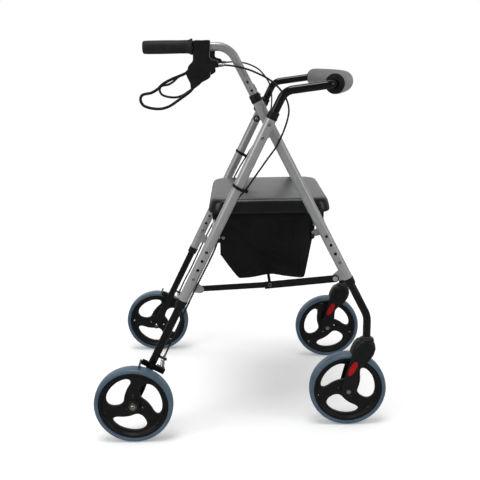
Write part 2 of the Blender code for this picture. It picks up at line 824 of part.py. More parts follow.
def front_lower_leg(side, side_name):
    """A tube bent upright at its foot, where it takes the caster's stem."""
    tilt = -FRONT_TILT
    down = (STEM_X - PIVOT_X) / sin(FRONT_TILT)
    corner = on_leg(tilt, side * FRONT_LEG_Y, -down)
    top = on_leg(tilt, side * FRONT_LEG_Y, -FRONT_BUTTON_DOWN + LOWER_OVERLAP)
    end = Vector((STEM_X, side * FRONT_LEG_Y, LEG_END_Z))
    path = rounded_path([top, corner, end], [LEG_BEND_RADIUS], 3)
    leg = piece(f"front_lower_leg_{side_name}", tube(path, INNER_RADIUS, 12), "black_metal")
    above = on_leg(tilt, side * FRONT_LEG_Y, -FRONT_BUTTON_DOWN + LOWER_OVERLAP + 0.01)
    inside = on_leg(tilt, side * FRONT_LEG_Y, -down + 0.025)
    cut(leg, rod(INNER_RADIUS - INNER_WALL, above, inside, 10))
    hole_top = (STEM_X, side * FRONT_LEG_Y, LEG_END_Z + STEM_LENGTH)
    cut(leg, rod(STEM_RADIUS + GAP, end - Vector((0, 0, 0.01)), hole_top, 12))


for side_name, side in SIDES.items():
    rear_lower_leg(side, side_name)
    front_lower_leg(side, side_name)


# Wheels: tyre, moulded rim and axle


def tyre_mesh():
    half = TYRE_WIDTH / 2
    flat_half = TREAD_FLAT / 2
    seat = RIM_RADIUS + GAP
    scale = VERTEX_RADIUS
    profile = [
        (seat, -half + TYRE_EDGE),
        (scale - TYRE_SHOULDER, -half),
        (scale, -flat_half),
        (scale, flat_half),
        (scale - TYRE_SHOULDER, half),
        (seat, half - TYRE_EDGE),
    ]
    return turned(profile, "Y", WHEEL_SIDES, closed=True, phase=pi / WHEEL_SIDES)


def on_rim(share, heading):
    """A point of the web, at a share of the rim's radius."""
    heading = radians(heading)
    return share * RIM_RADIUS * cos(heading), share * RIM_RADIUS * sin(heading)


def cut_web(rim, hand, first):
    """Sweeping gaps between the spokes, and a small triangle at each spoke's root."""
    for i in range(WHEEL_OPENINGS):
        middle = first + i * 360 / WHEEL_OPENINGS
        gap = [on_rim(share, middle + hand * turn) for share, turn in OPENING]
        cut(rim, flat(gap, 4 * RIM_HALF), rim)
        spoke = middle + 180 / WHEEL_OPENINGS
        corners = ((0.93, -4.3), (0.93, 4.3), (0.82, 0))
        triangle = [on_rim(share, spoke + turn) for share, turn in corners]
        cut(rim, flat(triangle, 4 * RIM_HALF), rim)


def rim(name, place, hand, first):
    """Hub, recessed web and a raised lip under the tyre."""
    bore = AXLE_RADIUS + AXLE_FIT
    half = [
        (bore, HUB_HALF),
        (HUB_RADIUS, HUB_HALF),
        (HUB_RADIUS, WEB_HALF),
        (RIM_RADIUS - RIM_LIP, WEB_HALF),
        (RIM_RADIUS - 0.8 * RIM_LIP, RIM_HALF),
        (RIM_RADIUS, RIM_HALF),
    ]
    profile = [(radius, -height) for radius, height in half] + list(reversed(half))
    mesh = turned(profile, "Y", RIM_SIDES, closed=True)
    cut_web(piece(name, mesh, "black_plastic", None, place), hand, first)


def rear_axle(side, side_name):
    """A bolt with its inner nut, a spacer beside the leg and a broad head on the hub."""
    plate = PLATE_HALF + GAP
    hub = REAR_WHEEL_Y - REAR_LEG_Y - HUB_HALF - GAP
    outer = REAR_WHEEL_Y - REAR_LEG_Y + HUB_HALF + GAP
    profile = [
        (0.0, -plate - 0.0085),
        (0.0040, -plate - 0.0080),
        (0.0065, -plate),
        (AXLE_RADIUS, -plate),
        (AXLE_RADIUS, plate),
        (0.0085, plate),
        (0.0085, hub),
        (AXLE_RADIUS, hub),
        (AXLE_RADIUS, outer),
        (0.0110, outer),
        (0.0100, outer + 0.0014),
        (0.0060, outer + 0.0040),
        (0.0, outer + 0.0045),
    ]
    profile = [(radius, side * height) for radius, height in profile]
    mesh = turned(profile, "Y", 10)
    piece(
        f"rear_axle_{side_name}",
        mesh,
        "steel",
        None,
        (-HALF_WHEELBASE, side * REAR_LEG_Y, WHEEL_RADIUS),
    )


def front_axle(side, side_name):
    arm = FORK_SLOT_HALF + FORK_ARM + GAP
    profile = [
        (0.0, -arm - 0.0048),
        (0.0045, -arm - 0.0042),
        (0.0065, -arm),
        (AXLE_RADIUS, -arm),
        (AXLE_RADIUS, arm),
        (0.0065, arm),
        (0.0045, arm + 0.0042),
        (0.0, arm + 0.0048),
    ]
    place = (HALF_WHEELBASE, side * FRONT_WHEEL_Y, WHEEL_RADIUS)
    piece(f"front_axle_{side_name}", turned(profile, "Y", 10), "steel", None, place)


TYRE = tyre_mesh()
for side_name, side in SIDES.items():
    rear_place = (-HALF_WHEELBASE, side * REAR_WHEEL_Y, WHEEL_RADIUS)
    front_place = (HALF_WHEELBASE, side * FRONT_WHEEL_Y, WHEEL_RADIUS)
    piece(f"rear_tyre_{side_name}", TYRE.copy(), "tyre", None, rear_place)
    piece(f"front_tyre_{side_name}", TYRE.copy(), "tyre", None, front_place)
    rim(f"rear_rim_{side_name}", rear_place, *WHEEL_TURN["rear", side])
    rim(f"front_rim_{side_name}", front_place, *WHEEL_TURN["front", side])
    rear_axle(side, side_name)
    front_axle(side, side_name)


# Caster forks


def caster_fork(side, side_name):
    """A moulded crown over the wheel, two arms down to the axle, and a steel stem."""
    axle = (HALF_WHEELBASE, WHEEL_RADIUS)
    front_edge = [(0.0110, 0), (0.0185, 0.0025), (0.0232, 0.0120), (0.0238, 0.0200)]
    front_edge += [(0.0205, 0.0400), (0.0115, 0.0600), (-0.0043, 0.0770), (-0.0233, 0.0950)]
    front_edge += [(-0.0303, 0.1170)]
    rear_edge = [(-0.0170, 0.0200), (-0.0165, 0.0430), (0.0035, 0.0840), (0.0130, 0.1120)]
    outline = [(STEM_X - 0.0248, FORK_TOP_Z)]
    outline += [(STEM_X + x, FORK_TOP_Z - down) for x, down in front_edge]
    outline += arc(axle, FORK_EYE, 20, -180, 8)
    outline += [(axle[0] + x, axle[1] + up) for x, up in rear_edge]
    local = [(x - STEM_X, z) for x, z in outline]
    width = FORK_SLOT_HALF + FORK_ARM
    place = (STEM_X, side * FRONT_WHEEL_Y, 0)
    mesh = pillow(local, width, FORK_EDGE, 1)
    fork = piece(f"caster_fork_{side_name}", mesh, "black_plastic", None, place)
    trail = HALF_WHEELBASE - STEM_X
    slot = rod(
        WHEEL_RADIUS + FORK_CLEARANCE,
        (trail, -FORK_SLOT_HALF, WHEEL_RADIUS),
        (trail, FORK_SLOT_HALF, WHEEL_RADIUS),
        36,
    )
    cut(fork, slot, fork)
    hole = AXLE_RADIUS + GAP
    cut(fork, rod(hole, (trail, -0.03, WHEEL_RADIUS), (trail, 0.03, WHEEL_RADIUS), 12), fork)
    washer_top = LEG_END_Z - GAP
    profile = [
        (0.0, FORK_TOP_Z - 0.010),
        (FORK_COLLAR, FORK_TOP_Z - 0.010),
        (FORK_COLLAR, washer_top),
        (STEM_RADIUS, washer_top),
        (STEM_RADIUS, LEG_END_Z + STEM_LENGTH - 0.004),
        (0.0, LEG_END_Z + STEM_LENGTH - 0.003),
    ]
    join(fork, turned(profile, "Z", 12), fork)


for side_name, side in SIDES.items():
    caster_fork(side, side_name)


# Side braces and the bar that folds them


def world_bolt(tilt, down, reach):
    place = on_leg(tilt, 0, -down, reach)
    return place.x, place.z


REAR_BOLT = world_bolt(REAR_TILT, REAR_BOLT_DOWN, GUSSET_REACH)
FRONT_BOLT = world_bolt(-FRONT_TILT, FRONT_BOLT_DOWN, -GUSSET_REACH)


def brace(name, bolt, width, inner, side, square_end):
    """A flat bar from its leg's bolt to the middle pivot, with its origin on the bolt."""
    middle = (MID_PIVOT_X - bolt[0], MID_PIVOT_Z - bolt[1])
    outline = stadium((0, 0), middle, width / 2)
    if square_end:
        heading = Vector(middle).normalized()
        across = Vector((-heading.y, heading.x)) * width / 2
        tip = Vector(middle) + heading * square_end
        outline = [tuple(tip - across), tuple(tip + across)]
        turn = atan2(heading.y, heading.x) * 180 / pi
        outline += arc((0, 0), width / 2, turn + 90, turn + 270, 6)
    holes = [
        circle((0, 0), BRACE_BOLT_RADIUS + GAP, 10),
        circle(middle, PULL_BAR_RADIUS + GAP, 10),
    ]
    centre = side * (inner + BRACE_THICKNESS / 2)
    mesh = flat(outline, BRACE_THICKNESS, holes)
    return piece(name, mesh, "black_metal", None, (bolt[0], centre, bolt[1]))


def braces(side, side_name):
    outer_layer = BRACE_LAYER_Y + BRACE_THICKNESS + BRACE_LAYER_GAP
    brace(f"brace_rear_{side_name}", REAR_BOLT, REAR_BRACE_WIDTH, BRACE_LAYER_Y, side, 0)
    front = brace(
        f"brace_front_{side_name}", FRONT_BOLT, FRONT_BRACE_WIDTH, outer_layer, side, 0.0135
    )
    middle = (MID_PIVOT_X - FRONT_BOLT[0], MID_PIVOT_Z - FRONT_BOLT[1])
    low = side * (BRACE_THICKNESS / 2 - 0.0010)
    high = side * (BRACE_THICKNESS / 2 + 0.0009)
    bore = PULL_BAR_RADIUS + GAP
    profile = [(bore, low), (RIVET_RADIUS, low), (RIVET_RADIUS, high), (bore, high)]
    ring = turned(profile, "Y", 8, closed=True)
    join(front, ring, front, (middle[0], 0, middle[1]))


def fold_pull_bar():
    """A straight rod between the two middle pivots, under the bag."""
    reach = BRACE_LAYER_Y + BRACE_THICKNESS + GAP / 2
    shoulder = BRACE_LAYER_Y - GAP
    profile = [
        (0.0, -reach),
        (PULL_BAR_RADIUS, -reach),
        (PULL_BAR_RADIUS, -shoulder),
        (PULL_BAR_RADIUS + 0.0008, -shoulder),
        (PULL_BAR_RADIUS + 0.0008, shoulder),
        (PULL_BAR_RADIUS, shoulder),
        (PULL_BAR_RADIUS, reach),
        (0.0, reach),
    ]
    place = (MID_PIVOT_X, 0, MID_PIVOT_Z)
    piece("fold_pull_bar", turned(profile, "Y", 10), "black_metal", None, place)


for side_name, side in SIDES.items():
    braces(side, side_name)
fold_pull_bar()


# Cross tubes, coped to the legs' round walls


def cross_tube(name, tilt, leg_y, frames):
    along = -(PIVOT_Z - CROSS_Z) / cos(tilt)
    place = on_leg(tilt, 0, along)
    made = piece(
        name,
        rod(CROSS_RADIUS, (0, -leg_y, 0), (0, leg_y, 0), 16),
        "silver",
        None,
        place,
    )
    for frame in frames.values():
        cut(made, rod(TUBE_RADIUS + GAP, (0, 0, along - 0.04), (0, 0, along + 0.04), 24), frame)
    bore = CROSS_RADIUS - TUBE_WALL
    cut(made, rod(bore, (0, -leg_y, 0), (0, leg_y, 0), 12), made)
    return place


REAR_CROSS = cross_tube("rear_cross_tube", REAR_TILT, REAR_LEG_Y, REAR)
FRONT_CROSS = cross_tube("front_cross_tube", -FRONT_TILT, FRONT_LEG_Y, FRONT)


# Seat: a moulded board with hinge clips and feet, and a crowned cushion


def seat_outline(inset):
    half = SEAT_HALF_WIDTH - inset
    corner = max(SEAT_CORNER - inset * 0.5, 0.006)
    rear = SEAT_REAR_X + inset
    front = SEAT_FRONT_X - inset
    points = []
    for centre_x, centre_y, start in (
        (front - corner, half - corner, 0),
        (rear + corner, half - corner, 90),
        (rear + corner, -half + corner, 180),
        (front - corner, -half + corner, 270),
    ):
        points += arc((centre_x, centre_y), corner, start, start + 90, 4)
    return points


def seat_board():
    hinge = (FRONT_CROSS.x, 0, FRONT_CROSS.z)
    outline = [(x - hinge[0], y) for x, y in seat_outline(BOARD_INSET)]
    middle = BOARD_BOTTOM_Z + BOARD_THICKNESS / 2 - hinge[2]
    mesh = flat(outline, BOARD_THICKNESS, upright=False, offset=middle)
    board = piece("seat_board", mesh, "board", None, hinge)
    inside = BOARD_BOTTOM_Z + BOARD_THICKNESS / 2 - hinge[2]
    ring = CROSS_RADIUS + GAP + BRACKET_WALL
    hole = circle((0, 0), (CROSS_RADIUS + GAP) / cos(pi / 12), 12)
    clip = arc((0, 0), ring, 150, 390, 12) + [(ring * 0.9, inside), (-ring * 0.9, inside)]
    foot_x = REAR_CROSS.x - hinge[0]
    foot_z = REAR_CROSS.z + CROSS_RADIUS + GAP - hinge[2]
    foot = [
        (foot_x - FOOT_HALF_LENGTH, foot_z),
        (foot_x + FOOT_HALF_LENGTH, foot_z),
        (foot_x + FOOT_HALF_LENGTH + 0.002, inside),
        (foot_x - FOOT_HALF_LENGTH - 0.002, inside),
    ]
    for y in (-BRACKET_Y, BRACKET_Y):
        join(board, flat(clip, BRACKET_THICKNESS, [hole], offset=y), board)
        join(board, flat(foot, BRACKET_THICKNESS * 3, offset=y), board)


def seat_cushion():
    """A pad with a crown, drawn-in lower edge and soft corners."""
    base = BOARD_BOTTOM_Z + BOARD_THICKNESS + GAP
    top = base + CUSHION_THICKNESS
    steps = [
        (0.0075, base),
        (0.0022, base + 0.0022),
        (0.0000, base + 0.0085),
        (0.0012, base + 0.0135),
        (0.0055, base + 0.0168),
        (0.0140, base + 0.0182),
        (0.0420, top - 0.0012),
        (0.0950, top),
    ]
    rings = []
    for inset, height in steps:
        rings.append([(x - FRONT_CROSS.x, y, height - FRONT_CROSS.z) for x, y in seat_outline(inset)])
    place = (FRONT_CROSS.x, 0, FRONT_CROSS.z)
    piece("seat_cushion", loft(rings), "vinyl", None, place)


seat_board()
seat_cushion()


# Bag


def bag():
    left = REAR_CROSS.x + CROSS_RADIUS + GAP
    right = FRONT_CROSS.x - CROSS_RADIUS - GAP - BRACKET_WALL - GAP
    top = BOARD_BOTTOM_Z - BAG_DROP
    over_bar = MID_PIVOT_Z + PULL_BAR_RADIUS + BAR_CLEARANCE
    rear_form = [(0.0, 0.339), (0.020, 0.282), (0.180, 0.028), (0.214, 0.003), (0.317, 0.0)]
    front_form = [(0.799, -0.008), (0.909, 0.0), (0.930, 0.034), (0.960, 0.232)]
    front_form += [(0.987, 0.560), (1.0, 0.785)]
    outline = [(left, top)]
    for form in (rear_form, front_form):
        for share, up in form:
            place = (left + share * (right - left), top - BAG_DEPTH * (1 - up))
            outline.append(place)
        if form is rear_form:
            outline.append((MID_PIVOT_X - 0.022, over_bar - 0.003))
            outline.append((MID_PIVOT_X, over_bar))
            outline.append((MID_PIVOT_X + 0.022, over_bar - 0.003))
    outline.append((right, top))
    piece("bag", pillow(rounded_corners(outline, 0.010, 1), BAG_HALF_WIDTH, BAG_EDGE, 1), "nylon")


bag()


# Handles: bent tube, grip, brake housing, lever and lock knob


def handle_path(side, extra=0.0):
    """Up the leg's line, back over the bend and along the grip."""
    tilt = -FRONT_TILT
    out = side * FRONT_LEG_Y
    bottom = on_leg(tilt, out, -HANDLE_TUBE_BELOW - extra)
    corner = on_leg(tilt, out, (HANDLE_Z - PIVOT_Z) / cos(FRONT_TILT))
    end = Vector((GRIP_REAR_X + 0.0035 - extra, out, HANDLE_Z))
    return rounded_path([bottom, corner, end], [HANDLE_BEND], 4)


def handle_tube(side, side_name):
    made = piece(f"handle_tube_{side_name}", tube(handle_path(side), INNER_RADIUS, 12), "silver")
    cut(made, tube(handle_path(side, 0.01), INNER_RADIUS - INNER_WALL, 8))
    for i in range(HANDLE_HOLES):
        up = HANDLE_LOCK_UP + i * HANDLE_HOLE_PITCH
        start = on_leg(-FRONT_TILT, side * FRONT_LEG_Y, up)
        end = on_leg(-FRONT_TILT, side * FRONT_LEG_Y, up, y=side * 0.02)
        cut(made, rod(HOLE_RADIUS * 0.9, start, end, 6))


def grip(side, side_name):
    bore = INNER_RADIUS + GAP
    length = GRIP_FRONT_X - GRIP_REAR_X
    profile = [
        (0.0, 0.0030),
        (bore, 0.0030),
        (bore, length),
        (GRIP_FLANGE - 0.0008, length),
        (GRIP_FLANGE, length - 0.0020),
        (GRIP_FLANGE - 0.0004, length - 0.0048),
        (GRIP_RADIUS, length - 0.0085),
        (GRIP_RADIUS, 0.0050),
        (GRIP_RADIUS - 0.0050, 0.0),
        (0.0, 0.0),
    ]
    mesh = turned(profile, "X", 16)
    place = (GRIP_REAR_X, side * FRONT_LEG_Y, HANDLE_Z)
    piece(f"grip_{side_name}", mesh, "rubber_grip", None, place)


def brake_housing(side, side_name):
    """A clamp on the tube with cheeks for the lever and a boss for the cable's ferrule."""
    pivot_x, pivot_z = LEVER_PIVOT
    grip = GRIP_FRONT_X + GAP - pivot_x
    top = HANDLE_Z - pivot_z + INNER_RADIUS + HOUSING_WALL
    outline = [
        (grip, top),
        (0.0305, top),
        (0.0370, 0.0710),
        (0.0480, 0.0460),
        (0.0475, 0.0195),
        (0.0280, 0.0095),
        (0.0130, -0.0100),
        (0.0025, -0.0150),
        (-0.0130, -0.0105),
        (-0.0230, 0.0250),
        (-0.0190, 0.0425),
        (grip, 0.0445),
    ]
    local = rounded_corners(outline, 0.005, 1)
    place = (pivot_x, side * FRONT_LEG_Y, pivot_z)
    mesh = pillow(local, HOUSING_HALF_WIDTH, HOUSING_BEVEL, 1)
    made = piece(f"brake_housing_{side_name}", mesh, "black_plastic", None, place)
    ferrule_y = side * FERRULE_OUT
    start = (FERRULE_TIP_X - FERRULE_LENGTH - 0.010 - pivot_x, ferrule_y, FERRULE_Z - pivot_z)
    end = (FERRULE_TIP_X - pivot_x, ferrule_y, FERRULE_Z - pivot_z)
    join(made, rod(FERRULE_RADIUS, start, end, 8), made)
    up = HANDLE_Z - pivot_z
    cut(made, rod(BORE_RADIUS, (-0.03, 0, up), (0.06, 0, up), 14), made)
    slot = [
        (-0.040, -0.034),
        (-0.004, -0.034),
        (0.0135, -0.012),
        (0.0145, 0.006),
        (0.006, 0.0155),
        (-0.008, 0.0215),
        (-0.040, 0.0380),
    ]
    cut(made, flat(slot, 2 * LEVER_SLOT_HALF), made)
    pin = LEVER_PIN_RADIUS + GAP
    cut(made, rod(pin, (0, -0.02, 0), (0, 0.02, 0), 8), made)


def lever_route():
    """The wire loop about the pivot, in shares of the lever's reach."""
    return [
        (-0.109, 0.105),
        (-0.274, 0.033),
        (-0.447, -0.031),
        (-0.605, -0.113),
        (-0.695, -0.193),
        (-0.800, -0.255),
        (-0.887, -0.273),
        (-0.964, -0.291),
        (-1.000, -0.342),
        (-0.996, -0.410),
        (-0.948, -0.476),
        (-0.847, -0.515),
        (-0.726, -0.532),
        (-0.622, -0.527),
        (-0.500, -0.486),
        (-0.393, -0.420),
        (-0.270, -0.337),
        (-0.146, -0.247),
        (-0.058, -0.145),
    ]


def brake_lever(side, side_name):
    """A root that turns in the housing, the wire loop, and the pin."""
    pivot_x, pivot_z = LEVER_PIVOT
    root = [
        (0.065, -0.007),
        (0.044, 0.055),
        (-0.022, 0.080),
        (-0.145, 0.127),
        (-0.207, 0.087),
        (-0.189, 0.000),
        (-0.138, -0.109),
        (-0.131, -0.189),
        (-0.080, -0.200),
        (0.000, -0.116),
        (0.051, -0.065),
    ]
    place = (pivot_x, side * FRONT_LEG_Y, pivot_z)
    outline = [(x * LEVER_REACH, z * LEVER_REACH) for x, z in root]
    mesh = flat(rounded_corners(outline, 0.003, 1), 2 * LEVER_ROOT_HALF)
    made = piece(f"brake_lever_{side_name}", mesh, "black_plastic", None, place)
    loop = [Vector((x, 0, z)) * LEVER_REACH for x, z in lever_route()]
    join(made, tube(smooth_route(loop, 22), LEVER_WIRE_RADIUS, 6), made)
    pin_half = HOUSING_HALF_WIDTH + 0.0006
    join(made, rod(LEVER_PIN_RADIUS, (0, -pin_half, 0), (0, pin_half, 0), 8), made)


def handle_knob(side, side_name):
    """A lobed knob on the leg's inner wall, with its stud through that wall."""
    wall = TUBE_RADIUS + GAP
    steps = 2 * KNOB_LOBES
    ring = []
    for i in range(steps):
        angle = 2 * pi * i / steps
        radius = KNOB_RADIUS * (1 - 0.07 * (1 - cos(KNOB_LOBES * angle)))
        ring.append((radius * cos(angle), radius * sin(angle)))
    rings = []
    for share, out in ((0.60, 0.0), (1.0, 0.008), (1.0, 0.018), (0.86, KNOB_LENGTH)):
        rings.append([(x * share, -side * (wall + out), z * share) for x, z in ring])
    place = (0, 0, HANDLE_LOCK_UP)
    made = piece(f"handle_knob_{side_name}", loft(rings), "black_plastic", FRONT[side], place)
    tip = INNER_RADIUS + GAP
    stud = rod(BRACE_BOLT_RADIUS, (0, -side * (wall + 0.004), 0), (0, -side * tip, 0), 10)
    join(made, stud, made)


for side_name, side in SIDES.items():
    handle_tube(side, side_name)
    grip(side, side_name)
    brake_housing(side, side_name)
    brake_lever(side, side_name)
    handle_knob(side, side_name)


# Backrest: one bent bar from leg to leg, with a foam pad on its bow


def bow_points(half_width, steps):
    """An arc that stands forward by the bow's depth at the middle."""
    corner_x, corner_z = BACKREST_CORNER
    chord = REAR_LEG_Y
    radius = (chord**2 + BACKREST_BOW**2) / (2 * BACKREST_BOW)
    points = []
    for i in range(steps + 1):
        y = half_width * (1 - 2 * i / steps)
        x = corner_x + BACKREST_BOW - radius + (radius**2 - y**2) ** 0.5
        points.append(Vector((x, y, corner_z)))
    return points


def backrest_path():
    half = []
    for side in (1, -1):
        out = side * REAR_LEG_Y
        half.append(
            [
                on_leg(REAR_TILT, out, -BACKREST_BELOW),
                on_leg(REAR_TILT, out, (BACKREST_BEND_Z - PIVOT_Z) / cos(REAR_TILT)),
                Vector((BACKREST_CORNER[0], out, BACKREST_CORNER[1])),
            ]
        )
    bow = bow_points(REAR_LEG_Y - 0.030, 6)
    corners = half[0] + bow + list(reversed(half[1]))
    radii = [BACKREST_BEND_RADIUS, BACKREST_CORNER_RADIUS]
    radii = radii + [None] * len(bow) + list(reversed(radii))
    path = [corners[0]]
    for before, corner, after, radius in zip(corners, corners[1:], corners[2:], radii):
        if radius is None:
            path.append(corner)
        else:
            path += rounded_path([before, corner, after], [radius], 3)[1:-1]
    path.append(corners[-1])
    return path


def backrest_bar():
    made = piece("backrest_bar", tube(backrest_path(), INNER_RADIUS, 12), "black_metal")
    for frame in REAR.values():
        for down, radius in ((0.0, PIVOT_BOLT_RADIUS), (SECOND_BOLT_DOWN, SECOND_BOLT_RADIUS)):
            cut(made, rod(radius + GAP, (0, -0.02, -down), (0, 0.02, -down), 9), frame)


def backrest_pad():
    made = piece("backrest_pad", tube(bow_points(PAD_HALF_WIDTH, 8), PAD_RADIUS, 14), "foam")
    cut(made, tube(backrest_path(), BORE_RADIUS + GAP, 10))


backrest_bar()
backrest_pad()


# Rear brakes: a rocker on the lower leg's outer wall, with a foot over the tyre


def brake_arm(side, side_name):
    frame_place = on_leg(REAR_TILT, side * REAR_LEG_Y, -BRAKE_PIVOT_DOWN)
    rear_end = (-BRAKE_REAR_ARM * cos(BRAKE_TILT), BRAKE_REAR_ARM * sin(BRAKE_TILT))
    front_end = (BRAKE_FRONT_ARM * cos(BRAKE_TILT), -BRAKE_FRONT_ARM * sin(BRAKE_TILT))
    outline = stadium(rear_end, front_end, BRAKE_WIDTH / 2, 6)
    hole = circle((0, 0), BRAKE_STUD_RADIUS + GAP, 10)
    inner = INNER_RADIUS + BRAKE_STANDOFF + GAP
    middle = side * (inner + BRAKE_THICKNESS / 2)
    mesh = flat(outline, BRAKE_THICKNESS, [hole], offset=middle)
    made = piece(f"brake_arm_{side_name}", mesh, "black_metal", None, frame_place)
    reach = WHEEL_RADIUS + BRAKE_FOOT_CLEARANCE + BRAKE_FOOT_RADIUS
    foot_z = WHEEL_RADIUS + (reach**2 - BRAKE_FOOT_AHEAD**2) ** 0.5
    spot = (BRAKE_FOOT_AHEAD - HALF_WHEELBASE - frame_place.x, foot_z - frame_place.z)
    end = side * (REAR_WHEEL_Y - REAR_LEG_Y + TYRE_WIDTH / 2 - BRAKE_FOOT_SHORT)
    start = side * (inner + 0.0005)
    join(made, rod(BRAKE_FOOT_RADIUS, (spot[0], start, spot[1]), (spot[0], end, spot[1]), 12), made)
    return frame_place


BRAKE_PLACE = {side: brake_arm(side, side_name) for side_name, side in SIDES.items()}


# Brake cables, from the ferrule down the rear leg to the cable stop and the rocker


def cable_route(side):
    """Chosen points of the free arc, then points that follow the rear leg."""
    if side < 0:
        arc_points = [
            (FERRULE_TIP_X + 2 * GAP, FERRULE_Y, FERRULE_Z),
            (-0.0130, 0.2372, 0.9272),
            (0.0060, 0.2388, 0.9236),
            (0.0230, 0.2392, 0.9188),
            (0.0405, 0.2395, 0.9120),
            (0.0637, 0.2400, 0.9007),
            (0.0799, 0.2402, 0.8902),
            (0.0945, 0.2400, 0.8770),
            (0.1070, 0.2398, 0.8610),
            (0.1155, 0.2400, 0.8450),
            (0.1195, 0.2405, 0.8270),
            (0.1180, 0.2408, 0.8080),
            (0.1103, 0.2408, 0.7820),
            (0.0984, 0.2410, 0.7539),
            (0.0865, 0.2410, 0.7326),
            (0.0672, 0.2408, 0.7066),
            (0.0365, 0.2404, 0.6635),
        ]
        leg_points = [
            (0.1665, 0.0195, -0.0150),
            (0.1900, 0.0140, -0.0154),
            (0.2150, 0.0095, -0.0156),
            (0.2500, 0.0080, -0.0156),
            (0.2850, 0.0100, -0.0148),
            (0.3100, 0.0138, -0.0103),
            (0.3350, 0.0162, -0.0030),
            (0.3700, 0.0160, 0.0040),
        ]
    else:
        arc_points = [
            (FERRULE_TIP_X + 2 * GAP, FERRULE_Y, FERRULE_Z),
            (-0.0130, 0.2372, 0.9300),
            (0.0060, 0.2388, 0.9290),
            (0.0260, 0.2392, 0.9250),
            (0.0450, 0.2395, 0.9180),
            (0.0640, 0.2400, 0.9070),
            (0.0799, 0.2402, 0.8900),
            (0.0905, 0.2400, 0.8750),
            (0.0975, 0.2398, 0.8590),
            (0.1010, 0.2400, 0.8400),
            (0.1022, 0.2405, 0.8180),
            (0.1010, 0.2408, 0.7980),
            (0.0960, 0.2408, 0.7760),
            (0.0880, 0.2410, 0.7520),
            (0.0770, 0.2415, 0.7300),
            (0.0600, 0.2430, 0.7030),
            (0.0380, 0.2465, 0.6700),
            (0.0180, 0.2510, 0.6380),
            (0.0000, 0.2565, 0.6080),
        ]
        leg_points = [
            (0.2700, 0.0160, 0.0062),
            (0.3200, 0.0150, 0.0070),
            (0.3800, 0.0145, 0.0075),
        ]
    points = [Vector((x, side * y, z)) for x, y, z in arc_points]
    out = side * REAR_LEG_Y
    leg_points += [
        (CABLE_STOP_DOWN - 0.200, CABLE_STOP_X - 0.0050, CABLE_STOP_OUT + 0.0010),
        (CABLE_STOP_DOWN - 0.140, CABLE_STOP_X - 0.0040, CABLE_STOP_OUT + 0.0010),
        (CABLE_STOP_DOWN - 0.080, CABLE_STOP_X - 0.0025, CABLE_STOP_OUT + 0.0005),
        (CABLE_STOP_DOWN - 0.035, CABLE_STOP_X - 0.0010, CABLE_STOP_OUT + 0.0002),
        (CABLE_STOP_DOWN - 0.0018, CABLE_STOP_X, CABLE_STOP_OUT),
    ]
    for down, x, y in leg_points:
        points.append(on_leg(REAR_TILT, out, -down, x, side * y))
    return points


def brake_cable(side, side_name):
    path = smooth_route(cable_route(side), CABLE_POINTS)
    radii = [CABLE_RADIUS] * len(path)
    stop = path[-1]
    out = side * REAR_LEG_Y
    hole = on_leg(REAR_TILT, out, -CABLE_STOP_DOWN, CABLE_STOP_X, side * CABLE_STOP_OUT)
    below = on_leg(REAR_TILT, out, -CABLE_STOP_DOWN - 0.003, CABLE_STOP_X, side * CABLE_STOP_OUT)
    place = BRAKE_PLACE[side]
    end_x = place.x + BRAKE_FRONT_ARM * 0.92 * cos(BRAKE_TILT)
    rise = BRAKE_WIDTH / 2 / cos(BRAKE_TILT)
    end_z = place.z - BRAKE_FRONT_ARM * 0.92 * sin(BRAKE_TILT) + rise + 0.0012
    end = Vector((end_x, out + side * (INNER_RADIUS + 0.004), end_z))
    path += [stop.lerp(hole, 0.06), hole, below, end]
    radii += [WIRE_RADIUS] * 4
    mesh = tube(path, CABLE_RADIUS, 8, radii)
    piece(f"brake_cable_{side_name}", mesh, "black_plastic")


for side_name, side in SIDES.items():
    brake_cable(side, side_name)

bpy.context.view_layer.update()
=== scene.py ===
"""The looks of a folding four-wheeled walking frame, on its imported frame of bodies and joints."""

from math import acos, atan2, copysign, cos, exp, hypot, pi, radians, sin, tan

import bmesh
import bpy
from mathutils import Matrix, Vector, noise


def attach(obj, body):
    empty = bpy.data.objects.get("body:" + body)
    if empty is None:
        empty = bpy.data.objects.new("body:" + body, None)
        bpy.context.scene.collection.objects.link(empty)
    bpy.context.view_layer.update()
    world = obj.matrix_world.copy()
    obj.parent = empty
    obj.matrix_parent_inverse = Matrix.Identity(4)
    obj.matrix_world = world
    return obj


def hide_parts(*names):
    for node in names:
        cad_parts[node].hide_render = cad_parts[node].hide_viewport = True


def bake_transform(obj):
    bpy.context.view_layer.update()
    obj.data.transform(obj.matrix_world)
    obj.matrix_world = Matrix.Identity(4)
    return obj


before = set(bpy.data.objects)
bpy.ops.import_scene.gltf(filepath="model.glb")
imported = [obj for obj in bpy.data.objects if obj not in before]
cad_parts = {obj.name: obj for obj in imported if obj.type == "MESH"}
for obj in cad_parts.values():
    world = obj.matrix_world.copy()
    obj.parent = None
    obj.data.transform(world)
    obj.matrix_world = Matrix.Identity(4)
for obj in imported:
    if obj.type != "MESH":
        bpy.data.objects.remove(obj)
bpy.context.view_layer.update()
SIDES = {"left": 1, "right": -1}
# Fit between pieces that touch
GAP = 0.0003

